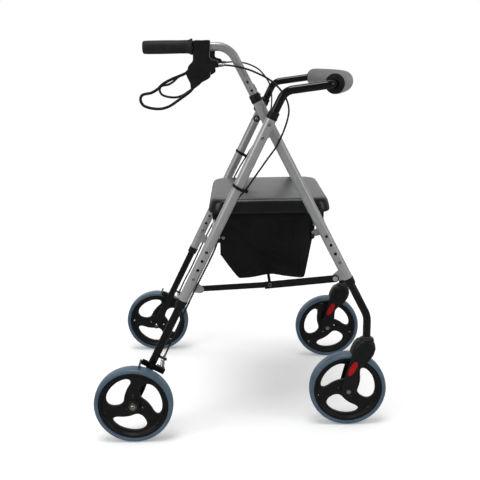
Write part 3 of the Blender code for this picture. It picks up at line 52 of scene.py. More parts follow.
# Silver leg tubes. Round steel tube, 25.4 mm across with a 1.5 mm wall, welded gussets for the
# side braces, and a row of holes for the height button. Satin silver powder coat, baked on, so
# the surface is even with a fine flake and soft broad highlights.
TUBE_RADIUS = 0.0127
TUBE_WALL = 0.0015
PIVOT = Vector((0.0715, 0, 0.793))
AXLE_X = 0.2755
WHEEL_RADIUS = 0.100
REAR_TILT = atan2(PIVOT.x + AXLE_X, PIVOT.z - WHEEL_RADIUS)
FRONT_TILT = -radians(26.9)
REAR_LEG_Y = 0.255
FRONT_LEG_Y = 0.225
REAR_TUBE = (-0.484, 0.0125)
FRONT_TUBE = (-0.4385, 0.0562)
REAR_BUTTON = -0.4202
FRONT_BUTTON = -0.3900
HOLE_PITCH = 0.0254
HOLE_RADIUS = 0.0039
REAR_BOLT_DOWN = 0.4445
FRONT_BOLT_DOWN = 0.4210
GUSSET_REACH = 0.0285
LOCK_UP = 0.0418
BRACE_LAYER = 0.2355
SECOND_DOWN = 0.0346
PIVOT_HOLE = 0.0043
SECOND_HOLE = 0.0033


def linear(code):
    """An sRGB hex colour in the linear values that the shaders take."""
    parts = [int(code[i : i + 2], 16) / 255 for i in (0, 2, 4)]
    return [p / 12.92 if p <= 0.04045 else ((p + 0.055) / 1.055) ** 2.4 for p in parts] + [1.0]


def add(tree, kind, settings=None, inputs=None):
    """One node with its settings, and its inputs set or linked."""
    made = tree.nodes.new(kind)
    for name, value in (settings or {}).items():
        setattr(made, name, value)
    for key, value in (inputs or {}).items():
        if isinstance(value, bpy.types.NodeSocket):
            tree.links.new(value, made.inputs[key])
        else:
            made.inputs[key].default_value = value
    return made


def start_finish(name, **shader_values):
    """A new material, its tree, its shader and the place on the object."""
    made = bpy.data.materials.new(name)
    made.use_nodes = True
    tree = made.node_tree
    shader = tree.nodes["Principled BSDF"]
    for key, value in shader_values.items():
        shader.inputs[key.replace("_", " ").title().replace("Ior", "IOR")].default_value = value
    place = add(tree, "ShaderNodeTexCoord").outputs["Object"]
    return made, tree, shader, place


def mottled(tree, shader, place, colours, size, rough, grain, height):
    """Colour that drifts between two tones over size, roughness that drifts, and a fine grain."""
    drift = add(tree, "ShaderNodeTexNoise", None, {"Vector": place, "Scale": 1 / size, "Detail": 4.0})
    tone = add(tree, "ShaderNodeValToRGB", None, {0: drift.outputs["Fac"]})
    tone.color_ramp.elements[0].position = 0.32
    tone.color_ramp.elements[1].position = 0.68
    tone.color_ramp.elements[0].color = linear(colours[0])
    tone.color_ramp.elements[1].color = linear(colours[1])
    tree.links.new(tone.outputs["Color"], shader.inputs["Base Color"])
    spread = add(
        tree,
        "ShaderNodeMapRange",
        None,
        {0: drift.outputs["Fac"], "To Min": rough[0], "To Max": rough[1]},
    )
    tree.links.new(spread.outputs["Result"], shader.inputs["Roughness"])
    fine = add(tree, "ShaderNodeTexNoise", None, {"Vector": place, "Scale": 1 / grain, "Detail": 2.0})
    bump = add(
        tree,
        "ShaderNodeBump",
        None,
        {"Height": fine.outputs["Fac"], "Strength": 1.0, "Distance": height},
    )
    tree.links.new(bump.outputs["Normal"], shader.inputs["Normal"])
    return bump


def over_bump(tree, shader, bump, height, strength, distance):
    """A second relief over a material's first one."""
    second = add(
        tree,
        "ShaderNodeBump",
        None,
        {"Height": height, "Normal": bump.outputs["Normal"], "Strength": strength, "Distance": distance},
    )
    tree.links.new(second.outputs["Normal"], shader.inputs["Normal"])


# Powder coat over steel: metallic, with flake drawn at 1.5 mm because real flake is finer
silver_coat, tree, shader, place = start_finish("silver_powder_coat", metallic=0.55)
mottled(tree, shader, place, ("B0B2B1", "BABBBA"), 0.050, (0.34, 0.40), 0.0015, 0.000008)


def shift(x, y, z):
    return Matrix.Translation((x, y, z))


def temporary(mesh):
    made = bpy.data.objects.new("temporary", mesh)
    bpy.context.scene.collection.objects.link(made)
    return made


def tidy(work):
    """A bmesh as a closed mesh with its faces pointing out."""
    bmesh.ops.remove_doubles(work, verts=work.verts, dist=0.00001)
    bmesh.ops.recalc_face_normals(work, faces=work.faces)
    mesh = bpy.data.meshes.new("mesh")
    work.to_mesh(mesh)
    work.free()
    return mesh


def evaluated(made):
    """The mesh that an object's modifiers or curve give; the object is removed."""
    bpy.context.view_layer.update()
    seen = made.evaluated_get(bpy.context.evaluated_depsgraph_get())
    raw = bpy.data.meshes.new_from_object(seen)
    work = bmesh.new()
    work.from_mesh(raw)
    bpy.data.objects.remove(made, do_unlink=True)
    bpy.data.meshes.remove(raw)
    return tidy(work)


def worked(base, joined=(), cut=(), rounding=0.0, angle=35):
    """A mesh with its parts joined, its holes cut and its edges rounded."""
    body = temporary(base)
    tools = []
    for operation, meshes in (("UNION", joined), ("DIFFERENCE", cut)):
        for mesh in meshes:
            tools.append(temporary(mesh))
            step = body.modifiers.new(operation.lower(), "BOOLEAN")
            step.operation = operation
            step.solver = "EXACT"
            step.object = tools[-1]
    mesh = evaluated(body)
    for tool in tools:
        bpy.data.objects.remove(tool, do_unlink=True)
    if rounding:
        body = temporary(mesh)
        edge = body.modifiers.new("rounding", "BEVEL")
        edge.width = rounding
        edge.segments = 2
        edge.limit_method = "ANGLE"
        edge.angle_limit = radians(angle)
        mesh = evaluated(body)
    return mesh


def rod(radius, start, end, sides=40):
    """A solid cylinder between two points."""
    start, end = Vector(start), Vector(end)
    along = end - start
    work = bmesh.new()
    bmesh.ops.create_cone(
        work,
        cap_ends=True,
        segments=sides,
        radius1=radius,
        radius2=radius,
        depth=along.length,
        matrix=Matrix.Translation((start + end) / 2)
        @ along.to_track_quat("Z", "Y").to_matrix().to_4x4(),
    )
    return tidy(work)


def block(low, high):
    low, high = Vector(low), Vector(high)
    work = bmesh.new()
    place_of = Matrix.Translation((low + high) / 2) @ Matrix.Diagonal((*(high - low), 1.0))
    bmesh.ops.create_cube(work, size=1.0, matrix=place_of)
    return tidy(work)


def loft(rings, closed_tube=False):
    """A closed skin through rings of as many points, with flat ends."""
    work = bmesh.new()
    made = [[work.verts.new(spot) for spot in ring] for ring in rings]
    count = len(rings[0])
    pairs = list(zip(made, made[1:])) + ([(made[-1], made[0])] if closed_tube else [])
    for low, high in pairs:
        for i in range(count):
            j = (i + 1) % count
            work.faces.new((low[i], low[j], high[j], high[i]))
    if not closed_tube:
        work.faces.new(list(reversed(made[0])))
        work.faces.new(made[-1])
    return tidy(work)


AXES = {
    "X": lambda r, a, h: (h, r * cos(a), r * sin(a)),
    "Y": lambda r, a, h: (r * cos(a), h, r * sin(a)),
    "Z": lambda r, a, h: (r * cos(a), r * sin(a), h),
}


def turned(profile, axis="Y", sides=48, closed=False):
    """A profile of (radius, height) pairs turned about an axis; the poles are single points."""
    place_of = AXES[axis]
    work = bmesh.new()
    rings = []
    for radius, height in profile:
        if radius < 1e-7:
            rings.append([work.verts.new(place_of(0, 0, height))])
        else:
            angles = [2 * pi * i / sides for i in range(sides)]
            rings.append([work.verts.new(place_of(radius, a, height)) for a in angles])
    pairs = list(zip(rings, rings[1:])) + ([(rings[-1], rings[0])] if closed else [])
    for low, high in pairs:
        for i in range(sides):
            j = (i + 1) % sides
            corners = [low[i % len(low)], low[j % len(low)], high[j % len(high)], high[i % len(high)]]
            corners = list(dict.fromkeys(corners))
            if len(corners) > 2:
                work.faces.new(corners)
    if not closed:
        for ring in (rings[0], rings[-1]):
            if len(ring) > 1:
                work.faces.new(ring)
    return tidy(work)


def sided(profile, side):
    """A profile of (radius, height) pairs, turned over for the other side of the frame."""
    return [(radius, side * height) for radius, height in profile]


def rounded_path(corners, radii, steps=10):
    """Straight runs joined by arcs, one radius for each inner corner."""
    corners = [Vector(c) for c in corners]
    path = [corners[0]]
    for before, corner, after, radius in zip(corners, corners[1:], corners[2:], radii):
        back = (before - corner).normalized()
        ahead = (after - corner).normalized()
        half = acos(max(-1.0, min(1.0, back.dot(ahead)))) / 2
        centre = corner + (back + ahead).normalized() * radius / sin(half)
        first = (corner + back * radius / tan(half) - centre).normalized()
        last = (corner + ahead * radius / tan(half) - centre).normalized()
        path += [centre + first.slerp(last, i / steps) * radius for i in range(steps + 1)]
    path.append(corners[-1])
    return path


def swept(path, radius, sides=40, squash_of=None):
    """A round bar along a path; squash_of(i) may give its two half widths at a point."""
    path = [Vector(p) for p in path]
    side_way = None
    rings = []
    for i, spot in enumerate(path):
        ahead = (path[min(i + 1, len(path) - 1)] - path[max(i - 1, 0)]).normalized()
        if side_way is None:
            side_way = ahead.orthogonal().normalized()
            if abs(ahead.y) < 0.9:
                side_way = (Vector((0, 1, 0)) - ahead * ahead.y).normalized()
        side_way = (side_way - ahead * side_way.dot(ahead)).normalized()
        other = ahead.cross(side_way)
        wide, high = squash_of(i) if squash_of else (radius, radius)
        rings.append(
            [
                spot + side_way * wide * cos(2 * pi * k / sides) + other * high * sin(2 * pi * k / sides)
                for k in range(sides)
            ]
        )
    return loft(rings)


def plate(outline, thickness, holes=(), rounding=0.0, offset=0.0, flat_down=False):
    """An outline of (x, z) points with a thickness in Y and softened rims."""
    data = bpy.data.curves.new("plate", "CURVE")
    data.dimensions = "2D"
    data.fill_mode = "BOTH"
    data.extrude = thickness / 2 - rounding
    data.bevel_depth = rounding
    data.bevel_resolution = 2
    data.offset = -rounding
    for ring in [outline, *holes]:
        spline = data.splines.new("POLY")
        spline.points.add(len(ring) - 1)
        spline.use_cyclic_u = True
        for point, spot in zip(spline.points, ring):
            point.co = (spot[0], spot[1], 0.0, 1.0)
    mesh = evaluated(temporary(data))
    turn = shift(0, 0, offset)
    if not flat_down:
        turn = shift(0, offset, 0) @ Matrix.Rotation(radians(90), 4, "X")
    mesh.transform(turn)
    return mesh


def arc(centre, radius, start, end, steps):
    angles = [radians(start + (end - start) * i / steps) for i in range(steps + 1)]
    return [(centre[0] + radius * cos(a), centre[1] + radius * sin(a)) for a in angles]


def circle(centre, radius, sides=32):
    return arc(centre, radius, 0, 360 * (sides - 1) / sides, sides - 1)


def leg_place(tilt, out):
    """The frame of a leg at its pivot, with local Z up the tube."""
    return shift(PIVOT.x, out, PIVOT.z) @ Matrix.Rotation(tilt, 4, "Y")


def moved(mesh, place_of):
    mesh.transform(place_of)
    return mesh


def fitted(name, mesh, look, body, slot, *nodes):
    """A finished piece: smooth with crisp edges, on its body, in place of its nodes."""
    made = bpy.data.objects.new(name, mesh)
    bpy.context.scene.collection.objects.link(made)
    mesh.materials.clear()
    mesh.materials.append(look)
    mesh.shade_smooth()
    mesh.set_sharp_from_angle(angle=radians(38))
    if body:
        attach(made, body)
    if nodes:
        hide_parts(*nodes)
    return made


def gusset(down, reach, inner, outer):
    """A welded plate with a rounded nose for the brace's bolt."""
    nose = 0.0095
    heading = 0 if reach > 0 else 180
    root = reach * 0.15
    outline = arc((reach, -down), nose, heading - 78, heading + 78, 16)
    ends = [(root, -down - nose * 1.7), (root, -down + nose * 1.7)]
    if reach < 0:
        ends.reverse()
    outline = [ends[0], *outline, ends[1]]
    return plate(outline, outer - inner, rounding=0.0005, offset=(inner + outer) / 2)


def brace_bolt(side, root, near, far, reach, down):
    """A step, the shank through the brace and a domed head."""
    profile = [
        (0.0, root), (0.0060, root), (0.0060, near), (0.0030, near), (0.0030, far), (0.0064, far),
        (0.0064, far + 0.0007), (0.0050, far + 0.0016), (0.0026, far + 0.0022), (0.0, far + 0.0024),
    ]
    if far < near:
        profile = profile[:5] + [(r, far - (h - far)) for r, h in profile[5:]]
    mesh = turned(sided(profile, side), "Y", 32)
    return moved(mesh, shift(reach, 0, -down))


def button_holes(first):
    """Four holes drilled through both walls of a leg."""
    levels = [first + i * HOLE_PITCH for i in range(4)]
    return [rod(HOLE_RADIUS, (0, -0.02, up), (0, 0.02, up), 24) for up in levels]


for name, side in SIDES.items():
    outer = BRACE_LAYER + 0.0055 + 0.0012 - REAR_LEG_Y
    rear = worked(
        rod(TUBE_RADIUS, (0, 0, REAR_TUBE[0]), (0, 0, REAR_TUBE[1]), 56),
        [
            gusset(REAR_BOLT_DOWN, GUSSET_REACH, *sorted((side * outer, side * (outer + 0.003)))),
            brace_bolt(
                side,
                outer + 0.0015,
                BRACE_LAYER + 0.0028 - REAR_LEG_Y,
                BRACE_LAYER - GAP - REAR_LEG_Y,
                GUSSET_REACH,
                REAR_BOLT_DOWN,
            ),
        ],
        [
            rod(TUBE_RADIUS - TUBE_WALL, (0, 0, -0.6), (0, 0, 0.1), 56),
            *button_holes(REAR_BUTTON),
            rod(PIVOT_HOLE, (0, -0.02, 0), (0, 0.02, 0), 24),
            rod(SECOND_HOLE, (0, -0.02, -SECOND_DOWN), (0, 0.02, -SECOND_DOWN), 24),
        ],
    )
    moved(rear, leg_place(REAR_TILT, side * REAR_LEG_Y))
    fitted(f"leg_tube_rear_{name}", rear, silver_coat, "rear_frame", "silver_tube", f"rear_leg_{name}")
    outer = BRACE_LAYER - 0.00125 - FRONT_LEG_Y
    near = BRACE_LAYER + 0.0027 - FRONT_LEG_Y
    front = worked(
        rod(TUBE_RADIUS, (0, 0, FRONT_TUBE[0]), (0, 0, FRONT_TUBE[1]), 56),
        [
            gusset(FRONT_BOLT_DOWN, -GUSSET_REACH, *sorted((side * (outer - 0.003), side * outer))),
            brace_bolt(side, outer - 0.0015, near, near + 0.0031, -GUSSET_REACH, FRONT_BOLT_DOWN),
            rod(0.0095, (0, side * 0.006, 0), (0, side * (TUBE_RADIUS + 0.002), 0), 40),
            rod(0.0068, (0, side * 0.009, LOCK_UP), (0, side * (TUBE_RADIUS + 0.0034), LOCK_UP), 6),
        ],
        [
            rod(TUBE_RADIUS - TUBE_WALL, (0, 0, -0.6), (0, 0, 0.1), 56),
            *button_holes(FRONT_BUTTON),
            rod(PIVOT_HOLE, (0, 0, 0), (0, side * 0.02, 0), 24),
            rod(SECOND_HOLE, (0, 0, LOCK_UP), (0, -side * 0.02, LOCK_UP), 24),
        ],
    )
    moved(front, leg_place(FRONT_TILT, side * FRONT_LEG_Y))
    fitted(
        f"leg_tube_front_{name}", front, silver_coat, "front_frame", "silver_tube", f"front_leg_{name}"
    )


# Collars. Black nylon bushes pressed into the mouths of the silver tubes, each with a lip that
# the thinner tube slides through. Moulded, so they are matt with a fine eroded grain.
INNER_RADIUS = 0.0100
BORE_RADIUS = INNER_RADIUS + GAP
COLLAR_LENGTH = 0.0195

moulded_black, tree, shader, place = start_finish("moulded_black_plastic", ior=1.50)
mottled(tree, shader, place, ("101111", "171818"), 0.018, (0.34, 0.46), 0.0009, 0.00004)
shader.inputs["Specular IOR Level"].default_value = 0.34


def collar(name, seat, way, tilt, out, body, node, sleeve=0.026):
    lip = seat + way * GAP
    end = lip + way * COLLAR_LENGTH
    inside = TUBE_RADIUS - TUBE_WALL - GAP
    profile = [(BORE_RADIUS, lip if not sleeve else seat - way * sleeve)]
    if sleeve:
        profile += [(inside, seat - way * sleeve), (inside, lip)]
    profile += [
        (TUBE_RADIUS + 0.0002, lip),
        (TUBE_RADIUS + 0.0010, lip + way * 0.0010),
        (TUBE_RADIUS + 0.0010, lip + way * 0.0040),
        (TUBE_RADIUS + 0.0006, lip + way * 0.0052),
        (TUBE_RADIUS + 0.0004, end - way * 0.0022),
        (TUBE_RADIUS - 0.0004, end - way * 0.0006),
        (TUBE_RADIUS - 0.0014, end),
        (BORE_RADIUS, end),
    ]
    mesh = moved(turned(profile, "Z", 56, closed=True), leg_place(tilt, out))
    fitted(name, mesh, moulded_black, body, "black_plastic", node)


for name, side in SIDES.items():
    rear_out = side * REAR_LEG_Y
    front_out = side * FRONT_LEG_Y
    collar(
        f"collar_rear_low_{name}", REAR_TUBE[0], -1, REAR_TILT, rear_out, "rear_frame",
        f"rear_leg_collar_{name}",
    )
    collar(
        f"collar_rear_high_{name}", REAR_TUBE[1], 1, REAR_TILT, rear_out, "rear_frame",
        f"backrest_collar_{name}", 0,
    )
    collar(
        f"collar_front_low_{name}", FRONT_TUBE[0], -1, FRONT_TILT, front_out, "front_frame",
        f"front_leg_collar_{name}",
    )
    collar(
        f"collar_handle_{name}", FRONT_TUBE[1], 1, FRONT_TILT, front_out, "front_frame",
        f"handle_collar_{name}", 0.0095,
    )


# Lower legs. Black powder-coated tube, 20 mm across, that slides in the silver legs. The rear
# ones are pressed flat round the axle; the front ones are bent upright over the caster. A steel
# spring button in each snaps into the leg's holes.
AXLE_DOWN = hypot(PIVOT.x + AXLE_X, PIVOT.z - WHEEL_RADIUS)
BUTTON_TO_TOP = 0.063
BRAKE_PIVOT_DOWN = 0.6777
CABLE_STOP_DOWN = 0.645
STEM_X = 0.3223
LEG_END_Z = 0.2442

# Gloss powder coat: deep black with a faint orange peel about 3 mm across
black_coat, tree, shader, place = start_finish("black_powder_coat", ior=1.50)
mottled(tree, shader, place, ("090909", "0E0E0F"), 0.030, (0.15, 0.22), 0.0030, 0.00002)
shader.inputs["Specular IOR Level"].default_value = 0.45

# Zinc plate: bright and slightly warm, with faint clouding some 12 mm across
zinc_plate, tree, shader, place = start_finish("zinc_plated_steel", metallic=1.0)
mottled(tree, shader, place, ("BDBDB8", "CCCCCA"), 0.012, (0.20, 0.28), 0.0008, 0.00001)


def rounded_box(half_u, half_v, power, count):
    """An oval of (u, v) points: an ellipse at power 1, nearer to a rectangle below it."""
    ring = []
    for i in range(count):
        c, s = cos(2 * pi * i / count), sin(2 * pi * i / count)
        ring.append((half_u * copysign(abs(c) ** power, c), half_v * copysign(abs(s) ** power, s)))
    return ring


def pressed_ring(along, half_x, half_y, power):
    return [(x, y, along) for x, y in rounded_box(half_x, half_y, power, 40)]


def spring_button(name, up, place_of, body):
    """A button with a dome at each end, 6.4 mm across, that stands just proud of its two holes."""
    top = TUBE_RADIUS + 0.0006
    end = [(0.0032, top - 0.0009), (0.0027, top - 0.0003), (0.0014, top), (0.0, top + 0.0001)]
    mesh = turned([(r, -h) for r, h in reversed(end)] + end, "Y", 24)
    mesh.transform(place_of @ shift(0, 0, up))
    fitted(name, mesh, zinc_plate, body, "steel")


for name, side in SIDES.items():
    top = REAR_BUTTON + BUTTON_TO_TOP
    rings = [pressed_ring(top, INNER_RADIUS, INNER_RADIUS, 1.0)]
    for i in range(9):
        share = i / 8
        ease = share * share * (3 - 2 * share)
        rings.append(
            pressed_ring(
                -0.720 - 0.030 * share,
                INNER_RADIUS + 0.0030 * ease,
                INNER_RADIUS - 0.0070 * ease,
                1.0 - 0.70 * ease,
            )
        )
    for turn in (0, 15, 30, 45, 58, 70, 80):
        half = 0.013 * cos(radians(turn))
        rings.append(pressed_ring(-AXLE_DOWN - 0.013 * sin(radians(turn)), half, 0.003, 0.30))
    face = INNER_RADIUS + 0.0022
    stud = [(0.0, 0.009), (0.006, 0.009), (0.006, face), (0.003, face), (0.003, face + 0.0036)]
    stud += [
        (0.0058, face + 0.0036), (0.0058, face + 0.0050), (0.0040, face + 0.0062), (0.0, face + 0.0066)
    ]
    stud = moved(turned(sided(stud, side), "Y", 32), shift(0, 0, 0.0045 - BRAKE_PIVOT_DOWN))
    low, high = sorted((side * 0.0010, side * 0.0125))
    stop = worked(
        block((0.0060, low, -CABLE_STOP_DOWN - 0.0015), (0.029, high, -CABLE_STOP_DOWN + 0.0015)),
        rounding=0.0006,
    )
    wire = (0.0200, side * 0.0070)
    rear = worked(
        loft(rings),
        [stud, stop],
        [
            rod(INNER_RADIUS - TUBE_WALL, (0, 0, top + 0.01), (0, 0, -0.700), 40),
            rod(0.0043, (0, -0.01, -AXLE_DOWN), (0, 0.01, -AXLE_DOWN), 32),
            rod(0.0015, (*wire, -CABLE_STOP_DOWN - 0.01), (*wire, -CABLE_STOP_DOWN + 0.01), 24),
        ],
    )
    place_of = leg_place(REAR_TILT, side * REAR_LEG_Y)
    body = f"rear_lower_{name}"
    fitted(
        f"lower_leg_rear_{name}", moved(rear, place_of), black_coat, body, "black_tube",
        f"rear_lower_leg_{name}",
    )
    spring_button(f"leg_button_rear_{name}", REAR_BUTTON, place_of, body)

    place_of = leg_place(FRONT_TILT, side * FRONT_LEG_Y)
    corner_down = (STEM_X - PIVOT.x) / sin(-FRONT_TILT)
    start = place_of @ Vector((0, 0, FRONT_BUTTON + BUTTON_TO_TOP))
    corner = place_of @ Vector((0, 0, -corner_down))
    end = Vector((STEM_X, side * FRONT_LEG_Y, LEG_END_Z))
    front = worked(
        swept(rounded_path([start, corner, end], [0.060], 14), INNER_RADIUS, 44),
        [],
        [
            rod(
                INNER_RADIUS - TUBE_WALL,
                place_of @ Vector((0, 0, FRONT_BUTTON + BUTTON_TO_TOP + 0.010)),
                place_of @ Vector((0, 0, -corner_down + 0.025)), 32,
            ),
            rod(0.0053, end - Vector((0, 0, 0.01)), end + Vector((0, 0, 0.046)), 32),
        ],
        rounding=0.0004,
        angle=60,
    )
    body = f"front_lower_{name}"
    fitted(f"lower_leg_front_{name}", front, black_coat, body, "black_tube", f"front_lower_leg_{name}")
    spring_button(f"leg_button_front_{name}", FRONT_BUTTON, place_of, body)


# Fold pivot. A zinc-plated bolt through both legs on each side, a second bolt under it that
# holds the stop plate, and a black washer with a dome nut on the inner wall.

def button_head(seat, radius, height):
    """A rounded head with a hexagon socket's rim, as (radius, height) pairs."""
    return [
        (0.0, seat + height * 0.55),
        (radius * 0.42, seat + height * 0.55),
        (radius * 0.46, seat + height),
        (radius * 0.70, seat + height * 0.92),
        (radius * 0.93, seat + height * 0.55),
        (radius, seat + height * 0.12),
        (radius, seat),
    ]


for name, side in SIDES.items():
    place_of = leg_place(REAR_TILT, side * REAR_LEG_Y)
    seat = TUBE_RADIUS + GAP
    tip = FRONT_LEG_Y + INNER_RADIUS + 0.0006 - REAR_LEG_Y
    profile = button_head(seat, 0.0050, 0.0030) + [(0.0040, seat), (0.0040, tip), (0.0, tip)]
    bolt = turned(sided(profile, side), "Y", 40)
    fitted(
        f"pivot_bolt_dressed_{name}", moved(bolt, place_of), zinc_plate, "rear_frame", "steel",
        f"pivot_bolt_{name}",
    )

    near = -(TUBE_RADIUS + GAP)
    far = near - 0.0020
    outline = arc((0, 0), 0.0105, 20, 180, 20)
    outline += arc((0, -SECOND_DOWN), 0.0095, 180, 330, 16)
    outline += [(0.0205, -0.0245), (0.0205, -0.0185)]
    stop = plate(outline, 0.0020, [circle((0, 0), 0.0046)], 0.0003, side * (near + far) / 2)
    fitted(
        f"stop_plate_dressed_{name}", moved(stop, place_of), silver_coat, "rear_frame", "silver_tube",
        f"stop_plate_{name}",
    )
    profile = button_head(seat, 0.0048, 0.0028) + [(0.0030, seat), (0.0030, far), (0.0, far)]
    second = moved(turned(sided(profile, side), "Y", 40), shift(0, 0, -SECOND_DOWN))
    fitted(f"second_bolt_{name}", moved(second, place_of), zinc_plate, "rear_frame", "steel")
    washer = [
        (0.0033, far), (0.0098, far), (0.0098, far - 0.0010), (0.0090, far - 0.0014),
        (0.0033, far - 0.0014),
    ]
    washer = moved(turned(sided(washer, side), "Y", 40, closed=True), shift(0, 0, -SECOND_DOWN))
    fitted(f"stop_washer_{name}", moved(washer, place_of), moulded_black, "rear_frame", "black_plastic")
    nut = [
        (0.0, far - 0.0014), (0.0062, far - 0.0014), (0.0062, far - 0.0034), (0.0046, far - 0.0056),
        (0.0026, far - 0.0068), (0.0, far - 0.0072),
    ]
    nut = moved(turned(sided(nut, side), "Y", 32), shift(0, 0, -SECOND_DOWN))
    fitted(f"dome_nut_{name}", moved(nut, place_of), zinc_plate, "rear_frame", "steel")


# Side braces. Flat black-coated steel bars that lock the legs apart, riveted together at the
# middle, where a thin rod runs across under the bag: pulling it up folds the frame.
MID_PIVOT = (0.0730, 0.3910)
BRACE_THICKNESS = 0.0025

# Chromated steel: duller and yellower than the zinc plate beside it
dull_steel, tree, shader, place = start_finish("chromated_steel_washer", metallic=1.0)
mottled(tree, shader, place, ("7D7B6C", "918F80"), 0.008, (0.36, 0.46), 0.0008, 0.00002)


def brace_bar(bolt, width, squared):
    """An outline from the leg's bolt to the middle pivot, about the bolt."""
    middle = Vector((MID_PIVOT[0] - bolt[0], MID_PIVOT[1] - bolt[1]))
    heading = atan2(middle.y, middle.x) * 180 / pi
    if squared:
        along = middle.normalized()
        across = Vector((-along.y, along.x)) * width / 2
        tip = middle + along * 0.0135
        outline = [tuple(tip - across), tuple(tip + across)]
    else:
        outline = arc(middle, width / 2, heading - 90, heading + 90, 16)
    outline += arc((0, 0), width / 2, heading + 90, heading + 270, 16)
    holes = [circle((0, 0), 0.0033), circle(middle, 0.0033)]
    return plate(outline, BRACE_THICKNESS, holes, 0.0004)


def bolt_place(tilt, down, reach):
    spot = leg_place(tilt, 0) @ Vector((reach, 0, -down))
    return spot.x, spot.z


REAR_BOLT = bolt_place(REAR_TILT, REAR_BOLT_DOWN, GUSSET_REACH)
FRONT_BOLT = bolt_place(FRONT_TILT, FRONT_BOLT_DOWN, -GUSSET_REACH)
for name, side in SIDES.items():
    mesh = brace_bar(REAR_BOLT, 0.0148, False)
    mesh.transform(shift(REAR_BOLT[0], side * (BRACE_LAYER + BRACE_THICKNESS / 2), REAR_BOLT[1]))
    fitted(f"brace_bar_rear_{name}", mesh, black_coat, "rear_braces", "black_tube", f"brace_rear_{name}")
    mesh = brace_bar(FRONT_BOLT, 0.0188, True)
    centre = side * (BRACE_LAYER + BRACE_THICKNESS * 1.5 + 0.0005)
    mesh.transform(shift(FRONT_BOLT[0], centre, FRONT_BOLT[1]))
    fitted(f"brace_bar_front_{name}", mesh, black_coat, "front_braces", "black_tube", f"brace_front_{name}")
    face = BRACE_THICKNESS / 2
    ring = [(0.0026, face - 0.0010), (0.0052, face - 0.0010), (0.0052, face + 0.0004)]
    ring += [(0.0045, face + 0.0011), (0.0034, face + 0.0012), (0.0026, face + 0.0006)]
    ring = turned(sided(ring, side), "Y", 32, closed=True)
    ring.transform(shift(MID_PIVOT[0], centre, MID_PIVOT[1]))
    fitted(f"brace_rivet_{name}", ring, dull_steel, "front_braces", "steel")
reach = BRACE_LAYER + BRACE_THICKNESS + 0.0001
half = [(0.0038, 0.2352), (0.0030, 0.2352), (0.0030, reach), (0.0, reach)]
bar = turned([(r, -h) for r, h in reversed(half)] + half, "Y", 32)
bar.transform(shift(MID_PIVOT[0], 0, MID_PIVOT[1]))
fitted("pull_rod", bar, black_coat, "rear_braces", "black_tube", "fold_pull_bar")


# Cross tubes. Silver tube, 19 mm across, coped to the legs and welded all round. They carry the
# seat and hold the two side frames apart.
CROSS_RADIUS = 0.0095
CROSS_Z = 0.527
# A weld's points round the tube, and its ripples
WELD_POINTS = 72
WELD_RIPPLES = 18


def cross_tube(name, tilt, leg_y, body, node):
    along = -(PIVOT.z - CROSS_Z) / cos(tilt)
    spot = leg_place(tilt, 0) @ Vector((0, 0, along))
    leg = rod(TUBE_RADIUS + 0.0002, (0, 0, along - 0.04), (0, 0, along + 0.04), 48)
    copes = [moved(leg.copy(), leg_place(tilt, side * leg_y)) for side in (1, -1)]
    mesh = worked(
        rod(CROSS_RADIUS, spot - Vector((0, leg_y, 0)), spot + Vector((0, leg_y, 0)), 48), [], copes
    )
    fitted(name, mesh, silver_coat, body, "silver_tube", node)
    for side_name, side in SIDES.items():
        bead = []
        place_of = leg_place(tilt, side * leg_y)
        for i in range(WELD_POINTS):
            a = 2 * pi * i / WELD_POINTS
            x, z = CROSS_RADIUS * 1.02 * cos(a), CROSS_RADIUS * 1.02 * sin(a)
            out = (TUBE_RADIUS**2 - x**2) ** 0.5 + 0.0006 + 0.0002 * cos(WELD_RIPPLES * a)
            bead.append(place_of @ Vector((x, -side * out, along + z)))
        rings = []
        for i, p in enumerate(bead):
            ahead = (bead[(i + 1) % WELD_POINTS] - bead[i - 1]).normalized()
            out = (p - spot - Vector((0, (p - spot).y, 0))).normalized()
            other = ahead.cross(out)
            fat = 0.0012 + 0.0002 * cos(WELD_RIPPLES * 2 * pi * i / WELD_POINTS)
            turns = [pi * k / 4 for k in range(8)]
            rings.append([p + out * fat * cos(a) + other * fat * sin(a) for a in turns])
        fitted(f"{name}_weld_{side_name}", loft(rings, True), silver_coat, body, "silver_tube")
    return spot


REAR_CROSS = cross_tube("cross_tube_rear", REAR_TILT, REAR_LEG_Y, "rear_frame", "rear_cross_tube")
FRONT_CROSS = cross_tube("cross_tube_front", FRONT_TILT, FRONT_LEG_Y, "front_frame", "front_cross_tube")


# Wheels. A 200 mm wheel: a soft blue-grey rubber tyre moulded on a black nylon rim with three
# sweeping spokes and a raised lip, turning on a zinc-plated bolt with a dull washer.
REAR_WHEEL_Y = 0.2985
RIM_RADIUS = 0.0886
HUB_HALF = 0.0182
FORK_HALF = 0.0235

# Soft thermoplastic tyre: blue-grey with a slight shine, and rubbed tones 30 mm across
tyre_rubber, tree, shader, place = start_finish("blue_grey_tyre_rubber", ior=1.48)
mottled(tree, shader, place, ("46596A", "526677"), 0.030, (0.26, 0.36), 0.0014, 0.00003)


def tyre():
    """The tyre's section, flat across the tread and round at the shoulders."""
    profile = [
        (RIM_RADIUS + GAP, -0.0145), (0.0902, -0.0156), (0.0922, -0.0163), (0.0940, -0.0165),
        (0.0957, -0.0161), (0.0972, -0.0151), (0.0984, -0.0135), (0.0992, -0.0114),
        (0.0997, -0.0088), (0.1000, -0.0050),
    ]
    profile += [(0.1000, 0.0)] + [(r, -h) for r, h in reversed(profile)]
    return turned(profile, "Y", 144, closed=True)


